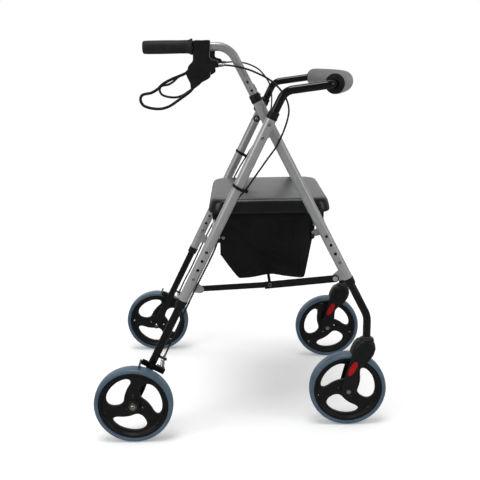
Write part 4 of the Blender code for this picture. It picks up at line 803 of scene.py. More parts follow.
SPOKE_GAP = [
    (72.3, -12), (72.2, -24), (71.6, -33), (69.5, -39), (65.5, -42), (60, -42), (52.5, -37.5),
    (43.5, -26), (35, -10), (30, 4), (27.3, 17), (27, 29), (30.5, 40), (37.5, 46.5), (46.5, 47.5),
    (55.5, 46), (63, 42.5), (68.7, 36.5), (71.7, 28), (72.4, 17), (72.3, 3),
]
OUTER_HOLE = [(80.6, -3.4), (81.4, 0), (80.6, 3.4), (75.2, 0)]
INNER_HOLE = [(26.6, 14), (25.2, 22), (22.4, 24), (21.6, 16), (24.0, 11)]
SPOKE_RIB = [(32, 16), (44, 10), (58, 3), (69, -1), (69, 1), (58, 5.5), (44, 13), (32, 20)]


def polar(points, turn, hand=1):
    """Points of (millimetres out, degrees round) about the axle, from a turn and by a hand."""
    angles = [radians(turn + hand * angle) for r, angle in points]
    return [(r / 1000 * cos(a), r / 1000 * sin(a)) for (r, angle), a in zip(points, angles)]


def between(a, b, c, d, t):
    """A smooth curve's point from b to c, with the points before and after them."""
    square = (2 * a - 5 * b + 4 * c - d) * t**2
    return 0.5 * (2 * b + (c - a) * t + square + (3 * b - a - 3 * c + d) * t**3)


def smooth_ring(points, steps):
    """A closed smooth outline through its points."""
    count = len(points)
    made = []
    for i in range(count):
        near = [Vector(points[(i + k) % count]) for k in (-1, 0, 1, 2)]
        made += [tuple(between(*near, j / steps)) for j in range(steps)]
    return made


def rim(hand):
    """A rim with its first opening ahead; hand is the way that its spokes sweep."""
    lip = 0.0124
    web = 0.0040
    profile = [
        (0.0044, -HUB_HALF), (0.0150, -HUB_HALF), (0.0163, -HUB_HALF + 0.0012), (0.0165, -0.0105),
        (0.0185, -0.0064), (0.0225, -web - 0.0008), (0.0290, -web), (0.0735, -web),
        (0.0775, -web - 0.0012), (0.0800, -0.0085), (0.0812, -lip + 0.0008), (0.0822, -lip),
        (0.0874, -lip), (RIM_RADIUS, -lip + 0.0012),
    ]
    profile += [(r, -h) for r, h in reversed(profile)]
    cuts = []
    ribs = []
    for i in range(3):
        centre = 120 * i
        spoke = centre + 60
        for shape, turn, way in (
            (SPOKE_GAP, centre, hand), (OUTER_HOLE, spoke, 1), (INNER_HOLE, spoke, hand)
        ):
            cuts.append(plate(smooth_ring(polar(shape, turn, way), 3), 0.05))
        ribs.append(plate(polar(SPOKE_RIB, spoke, hand), 2 * web + 0.0016))
    return worked(turned(profile, "Y", 120, closed=True), ribs, cuts, rounding=0.0006, angle=40)


TYRE = tyre()
RIMS = {1: rim(1), -1: rim(-1)}
for name, side in SIDES.items():
    for end, x, y, hand, middle in (
        ("rear", -AXLE_X, REAR_WHEEL_Y, 1, 137 if side < 0 else 120),
        ("front", AXLE_X, FRONT_LEG_Y, side, 15 if side < 0 else 43),
    ):
        spot = shift(x, side * y, WHEEL_RADIUS)
        body = f"{end}_wheel_{name}"
        fitted(
            f"tyre_{end}_{name}", moved(TYRE.copy(), spot), tyre_rubber, body, "tyre",
            f"{end}_tyre_{name}",
        )
        made = moved(RIMS[hand].copy(), spot @ Matrix.Rotation(-radians(middle), 4, "Y"))
        fitted(f"rim_{end}_{name}", made, moulded_black, body, "black_plastic", f"{end}_rim_{name}")
    plate_face = 0.0033
    hub = REAR_WHEEL_Y - REAR_LEG_Y - HUB_HALF - GAP
    outer = REAR_WHEEL_Y - REAR_LEG_Y + HUB_HALF + GAP
    profile = [(0.0, -plate_face - 0.0085), (0.0040, -plate_face - 0.0080), (0.0062, -plate_face - 0.0052)]
    profile += [(0.0065, -plate_face), (0.0040, -plate_face), (0.0040, plate_face), (0.0085, plate_face)]
    profile += [(0.0085, hub), (0.0040, hub), (0.0040, outer + 0.0016), (0.0062, outer + 0.0016)]
    profile += [
        (0.0063, outer + 0.0040), (0.0050, outer + 0.0058), (0.0028, outer + 0.0068),
        (0.0, outer + 0.0071),
    ]
    axle = turned(sided(profile, side), "Y", 48)
    spot = shift(-AXLE_X, side * REAR_LEG_Y, WHEEL_RADIUS)
    fitted(
        f"axle_rear_{name}", moved(axle, spot), zinc_plate, f"rear_lower_{name}", "steel",
        f"rear_axle_{name}",
    )
    ring = [(0.0043, outer), (0.0103, outer), (0.0106, outer + 0.0005), (0.0102, outer + 0.0013)]
    ring += [(0.0092, outer + 0.0015), (0.0080, outer + 0.0010), (0.0043, outer + 0.0012)]
    ring = turned(sided(ring, side), "Y", 48, closed=True)
    fitted(f"axle_washer_{name}", moved(ring, spot), dull_steel, f"rear_lower_{name}", "steel")
    arm = FORK_HALF + GAP
    half = [(0.0040, arm), (0.0066, arm), (0.0066, arm + 0.0010), (0.0057, arm + 0.0036)]
    half += [(0.0038, arm + 0.0047), (0.0, arm + 0.0051)]
    profile = [(r, -h) for r, h in reversed(half)] + half
    axle = turned(profile, "Y", 48)
    axle.transform(shift(AXLE_X, side * FRONT_LEG_Y, WHEEL_RADIUS))
    fitted(f"axle_front_{name}", axle, zinc_plate, f"caster_{name}", "steel", f"front_axle_{name}")


# Casters. A black nylon fork moulded in one piece over the wheel, turning on a steel stem in the
# front leg, with a red reflector let into the outer face of each arm.
FORK_TOP_Z = 0.2410
FORK_SLOT_HALF = 0.0185
# Height over which the fork's crown rounds over
CROWN = 0.0288


def drawn_in(outline, inset):
    """An outline moved inwards, to its left as it is walked."""
    count = len(outline)
    points = []
    for i in range(count):
        along = (Vector(outline[(i + 1) % count]) - Vector(outline[i - 1])).normalized()
        points.append((outline[i][0] - along.y * inset, outline[i][1] + along.x * inset))
    return points


# Reflector: red acrylic over a cube-corner back, drawn as facets 1.8 mm across
reflector_red, tree, shader, place = start_finish(
    "red_acrylic_reflector", ior=1.49, coat_weight=0.3, coat_roughness=0.10
)
cells = add(tree, "ShaderNodeTexVoronoi", None, {"Vector": place, "Scale": 560.0, "Randomness": 0.25})
tone = add(tree, "ShaderNodeValToRGB", None, {0: cells.outputs["Distance"]})
tone.color_ramp.elements[0].color = linear("C4060C")
tone.color_ramp.elements[1].color = linear("6E0206")
tree.links.new(tone.outputs["Color"], shader.inputs["Base Color"])
bump = add(
    tree,
    "ShaderNodeBump",
    None,
    {"Height": cells.outputs["Distance"], "Strength": 0.5, "Distance": 0.0003},
)
tree.links.new(bump.outputs["Normal"], shader.inputs["Normal"])
shader.inputs["Roughness"].default_value = 0.25
shader.inputs["Specular IOR Level"].default_value = 0.2

FORK_OUTLINE = [
    (0.3000, 0.2352), (0.3110, 0.2362), (0.3223, 0.2365), (0.3330, 0.2358), (0.3400, 0.2330),
    (0.3438, 0.2250), (0.3446, 0.2130), (0.3412, 0.2000), (0.3345, 0.1888), (0.3270, 0.1803),
    (0.3200, 0.1745), (0.3125, 0.1690), (0.3052, 0.1630), (0.3003, 0.1560), (0.2984, 0.1450),
    (0.2984, 0.1330), (0.2977, 0.1200), (0.2955, 0.1060), (0.2910, 0.0935), (0.2840, 0.0860),
    (0.2755, 0.0835), (0.2668, 0.0860), (0.2603, 0.0925), (0.2577, 0.1020), (0.2590, 0.1140),
    (0.2625, 0.1270), (0.2660, 0.1420), (0.2700, 0.1560), (0.2742, 0.1720), (0.2787, 0.1890),
    (0.2835, 0.2060), (0.2888, 0.2210), (0.2938, 0.2315),
]


def oval(centre, half_long, half_wide, tilt):
    """A long rounded outline, turned by tilt from X."""
    c, s = cos(tilt), sin(tilt)
    ring = rounded_box(half_long, half_wide, 0.86, 44)
    return [(centre[0] + u * c - v * s, centre[1] + u * s + v * c) for u, v in ring]


def fork_shell():
    """The fork without its hollows: rounded sections stacked from the axle to the crown."""
    lowest = min(range(len(FORK_OUTLINE)), key=lambda i: FORK_OUTLINE[i][1])
    front = list(reversed(FORK_OUTLINE[: lowest + 1]))
    rear = FORK_OUTLINE[lowest:] + FORK_OUTLINE[:1]

    def edge(chain, z):
        for a, b in zip(chain, chain[1:]):
            if a[1] <= z <= b[1] and b[1] > a[1]:
                return a[0] + (b[0] - a[0]) * (z - a[1]) / (b[1] - a[1])
        return chain[-1][0]

    low, high = FORK_OUTLINE[lowest][1], 0.2350
    levels = [low + (high - low) * share for share in (0.0004, 0.004, 0.010, 0.018, 0.028, 0.040)]
    levels += [low + (high - low) * (0.055 + 0.755 * i / 30) for i in range(31)]
    levels += [high - CROWN * cos(radians(a)) for a in (10, 20, 30, 40, 50, 60, 70, 78, 84, 88)]
    rings = []
    for z in levels:
        rear_x, front_x = edge(rear, z), edge(front, z)
        rise = max(0.0, (z - (high - CROWN)) / CROWN)
        draw = 1 - (1 - rise**2) ** 0.5
        half_x = (front_x - rear_x) / 2 - 0.0030 * draw
        half_y = FORK_HALF - 0.0075 * draw
        corner_x = min(0.0125, half_x * 0.96)
        corner_y = min(0.0060 + 0.0075 * min(1.0, max(0.0, (z - 0.17) / 0.05)), half_y)
        ring = []
        for turn, sx, sy in ((0, 1, 1), (90, -1, 1), (180, -1, -1), (270, 1, -1)):
            for i in range(9):
                a = radians(turn + 90 * i / 8)
                ring.append((
                    (rear_x + front_x) / 2 + sx * (half_x - corner_x) + corner_x * cos(a),
                    sy * (half_y - corner_y) + corner_y * sin(a),
                    z,
                ))
        rings.append(ring)
    return loft(rings)


for name, side in SIDES.items():
    out = side * FRONT_LEG_Y
    trail = shift(0, out, 0)
    washer_top = LEG_END_Z - GAP
    boss = [(0.0, 0.215), (0.0190, 0.215), (0.0194, 0.2300), (0.0192, 0.2338), (0.0183, 0.2368)]
    boss += [(0.0164, 0.2392), (0.0138, 0.2405), (0.0110, FORK_TOP_Z), (0.0, FORK_TOP_Z)]
    boss = moved(turned(boss, "Z", 48), shift(STEM_X, 0, 0))
    stem = [(0.0, FORK_TOP_Z - 0.010), (0.0088, FORK_TOP_Z - 0.010), (0.0088, washer_top - 0.0006)]
    stem += [(0.0082, washer_top), (0.0050, washer_top), (0.0050, LEG_END_Z + 0.041)]
    stem += [(0.0044, LEG_END_Z + 0.042), (0.0, LEG_END_Z + 0.042)]
    low, high = (AXLE_X, -FORK_SLOT_HALF, WHEEL_RADIUS), (AXLE_X, FORK_SLOT_HALF, WHEEL_RADIUS)
    well = rod(WHEEL_RADIUS + 0.0035, low, high, 120)
    bezel = oval((0.2853, 0.1622), 0.0216, 0.0085, radians(62.5))
    seats = [plate(bezel, 0.0040, offset=s * (FORK_HALF + 0.0010)) for s in (1, -1)]
    fork = worked(
        fork_shell(),
        [boss],
        [
            well,
            rod(0.0043, (AXLE_X, -0.03, WHEEL_RADIUS), (AXLE_X, 0.03, WHEEL_RADIUS), 40),
            rod(0.0090, (STEM_X, 0, 0.229), (STEM_X, 0, 0.25), 40),
            *seats,
        ],
        rounding=0.0009,
        angle=32,
    )
    fitted(
        f"fork_{name}", moved(fork, trail), moulded_black, f"caster_{name}", "black_plastic",
        f"caster_fork_{name}",
    )
    post = moved(turned(stem, "Z", 40), shift(STEM_X, out, 0))
    fitted(f"caster_stem_{name}", post, zinc_plate, f"caster_{name}", "steel")
    lens = plate(drawn_in(bezel, 0.0005), 0.0024, rounding=0.0006)
    for face, tag in ((1, "a"), (-1, "b")):
        spot = shift(0, out + face * (FORK_HALF - 0.0002), 0)
        fitted(
            f"reflector_{name}_{tag}", moved(lens.copy(), spot), reflector_red, f"caster_{name}",
            "black_plastic",
        )


# Rear brakes. A black rocker bolted to the lower leg: the cable pulls its front end up and the
# round foot behind presses on the tyre. A zinc spring stands between the cable stop and the
# rocker. The coil follows a rule, so Geometry Nodes wind it.
BRAKE_TILT = radians(29)
CABLE_OUT = 0.0070
FOOT_X = -0.2560
NIPPLE_AHEAD = 0.0265


def start_tree(name, **values):
    """A tree of Geometry Nodes with an input of its own for each size."""
    tree = bpy.data.node_groups.new(name, "GeometryNodeTree")
    for way in ("INPUT", "OUTPUT"):
        tree.interface.new_socket(name="Geometry", in_out=way, socket_type="NodeSocketGeometry")
    for key, value in values.items():
        kind = "NodeSocketInt" if isinstance(value, int) else "NodeSocketFloat"
        label = key.replace("_", " ").capitalize()
        tree.interface.new_socket(name=label, in_out="INPUT", socket_type=kind).default_value = value
    return tree, add(tree, "NodeGroupInput").outputs


def finish_tree(tree, geometry, look):
    """Turn a tree's instances into one mesh of one material and give it out."""
    real = add(tree, "GeometryNodeRealizeInstances", None, {"Geometry": geometry})
    painted = add(tree, "GeometryNodeSetMaterial", None, {"Geometry": real.outputs[0], "Material": look})
    add(tree, "NodeGroupOutput", None, {0: painted.outputs[0]})
    return tree


def coil_tree(look):
    """A wire wound about Z."""
    tree, sizes = start_tree("wound_spring", turns=6.0, coil_radius=0.004, wire_radius=0.0006, height=0.02)
    path = add(
        tree,
        "GeometryNodeCurveSpiral",
        None,
        {
            "Resolution": 20,
            "Rotations": sizes["Turns"],
            "Start Radius": sizes["Coil radius"],
            "End Radius": sizes["Coil radius"],
            "Height": sizes["Height"],
        },
    )
    wire = add(
        tree, "GeometryNodeCurvePrimitiveCircle", None,
        {"Resolution": 10, "Radius": sizes["Wire radius"]},
    )
    ends = {"Curve": path.outputs[0], "Profile Curve": wire.outputs[0], "Fill Caps": True}
    return finish_tree(tree, add(tree, "GeometryNodeCurveToMesh", None, ends).outputs[0], look)


def grown(tree, **sizes):
    """The plain mesh that a tree of Geometry Nodes gives with these sizes."""
    made = temporary(bpy.data.meshes.new("seed"))
    step = made.modifiers.new("grow", "NODES")
    step.node_group = tree
    for item in tree.interface.items_tree:
        key = item.name.lower().replace(" ", "_")
        if item.in_out == "INPUT" and key in sizes:
            step[item.identifier] = sizes[key]
    bpy.context.view_layer.update()
    result = bpy.data.meshes.new_from_object(made.evaluated_get(bpy.context.evaluated_depsgraph_get()))
    bpy.data.objects.remove(made, do_unlink=True)
    return result


def tilted(u, v):
    """(x, z) from the rocker's bolt: u ahead along the rocker, v up from its middle."""
    ahead = Vector((cos(BRAKE_TILT), -sin(BRAKE_TILT)))
    up = Vector((sin(BRAKE_TILT), cos(BRAKE_TILT)))
    return tuple(ahead * u + up * v)


def on_rocker(side, u, v):
    """A point of the rocker in line with the cable."""
    spot = leg_place(REAR_TILT, side * REAR_LEG_Y) @ Vector((0, 0, -BRAKE_PIVOT_DOWN))
    x, z = tilted(u, v)
    return spot + Vector((x, side * (CABLE_OUT + 0.0008), z))


COIL = coil_tree(zinc_plate)
for name, side in SIDES.items():
    leg = leg_place(REAR_TILT, side * REAR_LEG_Y)
    spot = leg @ Vector((0, 0, -BRAKE_PIVOT_DOWN))
    corner = 0.0018
    bar = []
    rear, front, low, high = -0.0270 + corner, 0.0365 - corner, -0.0040 + corner, 0.0110 - corner
    for centre, start in (((front, high), 0), ((rear, high), 90), ((rear, low), 180), ((front, low), 270)):
        bar += [tilted(*point) for point in arc(centre, corner, start, start + 90, 6)]
    inner = INNER_RADIUS + 0.0022
    hole = circle(tilted(0, 0.0045), 0.0033)
    bar = plate(bar, 0.0032, [hole], 0.0005, side * (inner + 0.0016))
    reach = WHEEL_RADIUS + 0.0042 + 0.0027
    rise = (reach**2 - (AXLE_X + FOOT_X) ** 2) ** 0.5
    foot = (FOOT_X - spot.x, WHEEL_RADIUS + rise - spot.z)
    end = side * (REAR_WHEEL_Y - REAR_LEG_Y + 0.0165 - 0.0060)
    start = side * (inner + 0.0005)
    pin = rod(0.0027, (foot[0], start, foot[1]), (foot[0], end, foot[1]), 28)
    # The folded lip under the bar's front half, where the spring and the wire's nipple sit
    lip = [tilted(u, v) for u, v in ((0.012, 0.0075), (0.034, 0.0075), (0.034, 0.0105), (0.012, 0.0105))]
    lip = plate(lip, 0.0100, offset=side * (inner - 0.0040))
    bar = worked(bar, [pin, lip], rounding=0.0004, angle=50)
    bar.transform(Matrix.Translation(spot))
    fitted(f"brake_rocker_{name}", bar, black_coat, f"brake_arm_{name}", "black_tube", f"brake_arm_{name}")
    low = on_rocker(side, NIPPLE_AHEAD, 0.0108)
    high = leg @ Vector((0.0195, side * CABLE_OUT, -CABLE_STOP_DOWN - 0.0016))
    length = high - low
    coil = grown(COIL, turns=5.5, coil_radius=0.0050, wire_radius=0.0009, height=length.length)
    coil.transform(Matrix.Translation(low) @ length.to_track_quat("Z", "Y").to_matrix().to_4x4())
    coil = fitted(f"brake_spring_{name}", coil, zinc_plate, None, "steel")
    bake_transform(coil)
    barrel = [(0.0013, 0.0016), (0.0036, 0.0016), (0.0036, 0.0058), (0.0028, 0.0064), (0.0028, 0.0128)]
    barrel += [(0.0024, 0.0140), (0.0013, 0.0140)]
    barrel = turned(barrel, "Z", 24, closed=True)
    barrel.transform(leg @ shift(0.0200, side * CABLE_OUT, -CABLE_STOP_DOWN))
    fitted(f"cable_adjuster_{name}", barrel, zinc_plate, f"rear_lower_{name}", "steel")


# Handles. Silver-grey anodised tube bent back over the user, with height holes, a lobed lock
# knob, a moulded brake clamp, a wire-loop lever and a soft rubber grip.
HANDLE_Z = 0.9715
GRIP_REAR_X = -0.2205
GRIP_FRONT_X = -0.1040
LEVER = (-0.0930, 0.9030)
FERRULE_REAR = -0.0500
FERRULE_TIP = -0.0315
FERRULE_Y = 0.2330
FERRULE_Z = 0.9290

# Satin anodised tube: darker than the legs, with a drawn grain
satin_tube, tree, shader, place = start_finish("satin_anodised_tube", metallic=0.62)
mottled(tree, shader, place, ("A9AAA8", "B4B5B3"), 0.030, (0.34, 0.40), 0.0012, 0.000008)

# Grip rubber: dull black with a fine cross pattern, drawn at 1.4 mm
grip_rubber, tree, shader, place = start_finish("black_grip_rubber", ior=1.45)
bump = mottled(tree, shader, place, ("161717", "202121"), 0.022, (0.55, 0.68), 0.0009, 0.00005)
dots = add(tree, "ShaderNodeTexVoronoi", None, {"Vector": place, "Scale": 700.0, "Randomness": 0.1})
over_bump(tree, shader, bump, dots.outputs["Distance"], 0.6, 0.00012)


def ring_tree(look):
    """Round ribs at an even pitch along X, on a line of points."""
    tree, sizes = start_tree("grip_ribs", count=4, pitch=0.004, rib_radius=0.016, rib_height=0.001)
    step = add(tree, "ShaderNodeCombineXYZ", None, {0: sizes["Pitch"]})
    line = add(
        tree, "GeometryNodeMeshLine", {"mode": "OFFSET"},
        {"Count": sizes["Count"], "Offset": step.outputs[0]},
    )
    hoop = add(
        tree, "GeometryNodeCurvePrimitiveCircle", None,
        {"Resolution": 56, "Radius": sizes["Rib radius"]},
    )
    bead = add(
        tree, "GeometryNodeCurvePrimitiveCircle", None,
        {"Resolution": 10, "Radius": sizes["Rib height"]},
    )
    skin = add(
        tree, "GeometryNodeCurveToMesh", None,
        {"Curve": hoop.outputs[0], "Profile Curve": bead.outputs[0]},
    )
    upright = add(
        tree, "GeometryNodeTransform", None, {"Geometry": skin.outputs[0], "Rotation": (0, pi / 2, 0)}
    )
    copies = add(
        tree, "GeometryNodeInstanceOnPoints", None,
        {"Points": line.outputs[0], "Instance": upright.outputs[0]},
    )
    return finish_tree(tree, copies.outputs[0], look)


RIBS = ring_tree(grip_rubber)
KNOB_RADIUS = 0.0165
KNOB_LOBES = 6
# The knob's rings from the leg outwards: share of its radius, and height
KNOB = (
    (0.60, 0.0), (0.72, 0.0040), (0.95, 0.0072), (1.0, 0.0095), (1.0, 0.0175), (0.97, 0.0200),
    (0.88, 0.0216), (0.74, 0.0220),
)
HOUSING = [
    (-0.1030, 0.9850), (-0.0830, 0.9858), (-0.0650, 0.9860), (-0.0628, 0.9830), (-0.0632, 0.9740),
    (-0.0640, 0.9600), (-0.0648, 0.9480), (-0.0610, 0.9430), (-0.0530, 0.9408), (-0.0470, 0.9385),
    (-0.0452, 0.9325), (-0.0470, 0.9255), (-0.0560, 0.9205), (-0.0640, 0.9150), (-0.0636, 0.9075),
    (-0.0650, 0.9010), (-0.0730, 0.8955), (-0.0840, 0.8900), (-0.0950, 0.8825), (-0.1050, 0.8760),
    (-0.1090, 0.8800), (-0.1085, 0.8900), (-0.1110, 0.8970), (-0.1145, 0.9050), (-0.1168, 0.9180),
    (-0.1150, 0.9270), (-0.1090, 0.9340), (-0.1040, 0.9400), (-0.1034, 0.9520), (-0.1032, 0.9700),
]
# The slot that the lever moves in, from its pin
LEVER_SLOT = [
    (-0.040, -0.034), (-0.004, -0.034), (0.0135, -0.012), (0.0145, 0.006), (0.006, 0.0155),
    (-0.008, 0.0215), (-0.040, 0.0380),
]
LEVER_ROUTE = [
    (-0.1080, 0.9175), (-0.1307, 0.9076), (-0.1545, 0.8987), (-0.1762, 0.8875), (-0.1885, 0.8765),
    (-0.2030, 0.8680), (-0.2150, 0.8655), (-0.2255, 0.8630), (-0.2305, 0.8560), (-0.2300, 0.8466),
    (-0.2234, 0.8375), (-0.2094, 0.8322), (-0.1928, 0.8298), (-0.1785, 0.8306), (-0.1617, 0.8362),
    (-0.1471, 0.8453), (-0.1301, 0.8567), (-0.1131, 0.8690), (-0.1010, 0.8830),
]
LEVER_ROOT = [
    (-0.0840, 0.9020), (-0.0870, 0.9105), (-0.0960, 0.9140), (-0.1130, 0.9205), (-0.1215, 0.9150),
    (-0.1190, 0.9030), (-0.1120, 0.8880), (-0.1110, 0.8770), (-0.1040, 0.8755), (-0.0930, 0.8870),
    (-0.0860, 0.8940),
]


def even_steps(points, steps):
    """Points in even steps along a line of points, both ends included."""
    points = [Vector(p) for p in points]
    lengths = [0.0]
    for a, b in zip(points, points[1:]):
        lengths.append(lengths[-1] + (b - a).length)
    even = []
    k = 0
    for i in range(steps + 1):
        want = lengths[-1] * i / steps
        while k < len(lengths) - 2 and lengths[k + 1] < want:
            k += 1
        share = (want - lengths[k]) / (lengths[k + 1] - lengths[k])
        even.append(points[k].lerp(points[k + 1], min(1.0, share)))
    return even


def smooth_route(points, count):
    """Even points along a smooth curve through a route's own points."""
    points = [Vector(p) for p in points]
    padded = [2 * points[0] - points[1], *points, 2 * points[-1] - points[-2]]
    dense = []
    for near in zip(padded, padded[1:], padded[2:], padded[3:]):
        dense += [between(*near, i / 16) for i in range(16)]
    return even_steps([*dense, points[-1]], count - 1)


for name, side in SIDES.items():
    out = side * FRONT_LEG_Y
    leg = leg_place(FRONT_TILT, out)
    body = f"handle_{name}"
    bottom = leg @ Vector((0, 0, -0.060))
    corner = leg @ Vector((0, 0, (HANDLE_Z - PIVOT.z) / cos(FRONT_TILT)))
    end = Vector((GRIP_REAR_X + 0.0035, out, HANDLE_Z))
    bend = rounded_path([bottom, corner, end], [0.050], 20)
    holes = []
    for i in range(4):
        up = LOCK_UP + i * 0.022
        holes.append(rod(0.0031, leg @ Vector((0, 0, up)), leg @ Vector((0, side * 0.02, up)), 24))
    inner_bend = [leg @ Vector((0, 0, -0.07)), *bend[1:-1], end - Vector((0.01, 0, 0))]
    tube = worked(
        swept(bend, INNER_RADIUS, 44), [], [swept(inner_bend, INNER_RADIUS - TUBE_WALL, 32), *holes]
    )
    fitted(f"handle_tube_dressed_{name}", tube, satin_tube, body, "silver_tube", f"handle_tube_{name}")

    length = GRIP_FRONT_X - GRIP_REAR_X
    profile = [
        (0.0, 0.0030), (BORE_RADIUS, 0.0030), (BORE_RADIUS, length), (0.0180, length),
        (0.0187, length - 0.0010), (0.0187, length - 0.0030), (0.0180, length - 0.0045),
        (0.0163, length - 0.0072), (0.0153, length - 0.0120), (0.0150, length - 0.0250),
        (0.0154, length - 0.0450), (0.0156, length - 0.0700), (0.0154, 0.0100),
        (0.0149, 0.0040), (0.0136, 0.0014), (0.0110, 0.0003), (0.0, 0.0),
    ]
    grip = turned(profile, "X", 56)
    grip.transform(shift(GRIP_REAR_X, out, HANDLE_Z))
    fitted(f"grip_dressed_{name}", grip, grip_rubber, body, "grip", f"grip_{name}")
    ribs = grown(RIBS, count=3, pitch=0.0042, rib_radius=0.0150, rib_height=0.0008)
    ribs.transform(shift(GRIP_FRONT_X - 0.0260, out, HANDLE_Z))
    fitted(f"grip_rings_{name}", ribs, grip_rubber, body, "grip")

    local = [(x - LEVER[0], z - LEVER[1]) for x, z in smooth_ring(HOUSING, 2)]
    up = HANDLE_Z - LEVER[1]
    line = (side * (FERRULE_Y - FRONT_LEG_Y), FERRULE_Z - LEVER[1])
    boss = rod(0.0056, (-0.0620 - LEVER[0], *line), (FERRULE_REAR + 0.006 - LEVER[0], *line), 32)
    rims = []
    for x in (-0.0038, 0.0250):
        ring = [(0.0124, x), (0.0142, x), (0.0144, x + 0.0010), (0.0142, x + 0.0020), (0.0124, x + 0.0020)]
        rims.append(moved(turned(ring, "X", 44, closed=True), shift(0, 0, up)))
    house = worked(
        plate(local, 0.0260, rounding=0.0024),
        [boss, *rims],
        [
            rod(BORE_RADIUS, (-0.03, 0, up), (0.06, 0, up), 44),
            plate(LEVER_SLOT, 0.0094),
            rod(0.0028, (0, -0.02, 0), (0, 0.02, 0), 24),
            block((-0.02, -0.0004, up - 0.03), (0.05, 0.0004, up - 0.0098)),
        ],
        rounding=0.0005,
        angle=45,
    )
    centre = shift(LEVER[0], out, LEVER[1])
    fitted(
        f"brake_clamp_{name}", moved(house, centre), moulded_black, body, "black_plastic",
        f"brake_housing_{name}",
    )
    x = FERRULE_REAR
    ferrule = [(0.0, x), (0.0040, x), (0.0040, x + 0.0085), (0.0044, x + 0.0090), (0.0044, x + 0.0130)]
    ferrule += [(0.0036, x + 0.0138), (0.0032, FERRULE_TIP), (0.0, FERRULE_TIP)]
    ferrule = moved(turned(ferrule, "X", 32), shift(0, side * FERRULE_Y, FERRULE_Z))
    fitted(f"cable_ferrule_{name}", ferrule, zinc_plate, body, "steel")

    root = smooth_ring([(x - LEVER[0], z - LEVER[1]) for x, z in LEVER_ROOT], 4)
    loop = smooth_route([(x - LEVER[0], 0, z - LEVER[1]) for x, z in LEVER_ROUTE], 90)
    lever = worked(
        plate(root, 0.0084, rounding=0.0010),
        [
            swept(loop, 0.0033, 24, lambda i: (0.0038, 0.0034)),
            rod(0.0025, (0, -0.0136, 0), (0, 0.0136, 0), 28),
        ],
        rounding=0.0004,
        angle=50,
    )
    fitted(
        f"loop_lever_{name}", moved(lever, centre), moulded_black, f"lever_{name}", "black_plastic",
        f"brake_lever_{name}",
    )

    wall = TUBE_RADIUS + GAP
    rings = []
    for share, deep in KNOB:
        ring = []
        for i in range(96):
            a = 2 * pi * i / 96
            r = share * KNOB_RADIUS * (1 - 0.07 * (1 - cos(KNOB_LOBES * a)))
            ring.append((r * cos(a), -side * (wall + deep), r * sin(a)))
        rings.append(ring)
    knob = loft(rings)
    knob = worked(knob, [rod(0.0030, (0, -side * (wall + 0.004), 0), (0, -side * 0.0103, 0), 24)])
    knob.transform(leg @ shift(0, 0, LOCK_UP))
    fitted(f"lock_knob_{name}", knob, moulded_black, f"knob_{name}", "black_plastic", f"handle_knob_{name}")


# Backrest. One black-coated tube bent from leg to leg, with a sleeve of grey foam over its bow
# and a near-black disc closing each end of the foam.
BACKREST_BEND_Z = 0.869
BACKREST_CORNER = (0.2195, 0.8825)
BOW = 0.056
PAD_RADIUS = 0.0248
PAD_HALF = 0.238

# Cellular rubber: grey skin with pores, drawn at 1.6 mm
foam_skin, tree, shader, place = start_finish(
    "grey_cellular_foam", ior=1.40, sheen_weight=0.25, sheen_roughness=0.6
)
bump = mottled(tree, shader, place, ("5A5A58", "696967"), 0.030, (0.78, 0.90), 0.0011, 0.00012)
pores = add(tree, "ShaderNodeTexVoronoi", None, {"Vector": place, "Scale": 620.0})
over_bump(tree, shader, bump, pores.outputs["Distance"], 0.7, 0.00025)


def bow_points(half_width, steps):
    radius = (REAR_LEG_Y**2 + BOW**2) / (2 * BOW)
    points = []
    for i in range(steps + 1):
        y = half_width * (1 - 2 * i / steps)
        x = BACKREST_CORNER[0] + BOW - radius + (radius**2 - y**2) ** 0.5
        points.append(Vector((x, y, BACKREST_CORNER[1])))
    return points


def backrest_path():
    ends = []
    for side in (1, -1):
        leg = leg_place(REAR_TILT, side * REAR_LEG_Y)
        bend = leg @ Vector((0, 0, (BACKREST_BEND_Z - PIVOT.z) / cos(REAR_TILT)))
        corner = Vector((BACKREST_CORNER[0], side * REAR_LEG_Y, BACKREST_CORNER[1]))
        ends.append([leg @ Vector((0, 0, -0.055)), bend, corner])
    bow = bow_points(REAR_LEG_Y - 0.030, 30)
    corners = ends[0] + bow + list(reversed(ends[1]))
    radii = [0.035, 0.022] + [None] * len(bow) + [0.022, 0.035]
    path = [corners[0]]
    for before, corner, after, radius in zip(corners, corners[1:], corners[2:], radii):
        path += [corner] if radius is None else rounded_path([before, corner, after], [radius], 12)[1:-1]
    path.append(corners[-1])
    return path


bar_path = backrest_path()
bolts = []
for side in (1, -1):
    leg = leg_place(REAR_TILT, side * REAR_LEG_Y)
    for down, radius in ((0.0, PIVOT_HOLE), (SECOND_DOWN, SECOND_HOLE)):
        bolts.append(rod(radius, leg @ Vector((0, -0.02, -down)), leg @ Vector((0, 0.02, -down)), 24))
bar = worked(swept(bar_path, INNER_RADIUS, 40), [], bolts)
fitted("backrest_tube", bar, black_coat, "rear_frame", "black_tube", "backrest_bar")

inset = 0.0035
line = bow_points(PAD_HALF - inset, 60)
pad = swept(line, PAD_RADIUS, 64, lambda i: (PAD_RADIUS - 0.0018 * max(0, 1 - min(i, 60 - i) / 1.2),) * 2)
pad = worked(pad, [], [swept(bar_path, BORE_RADIUS + GAP, 28)])
pad = fitted("backrest_foam", pad, foam_skin, "rear_frame", "foam", "backrest_pad")

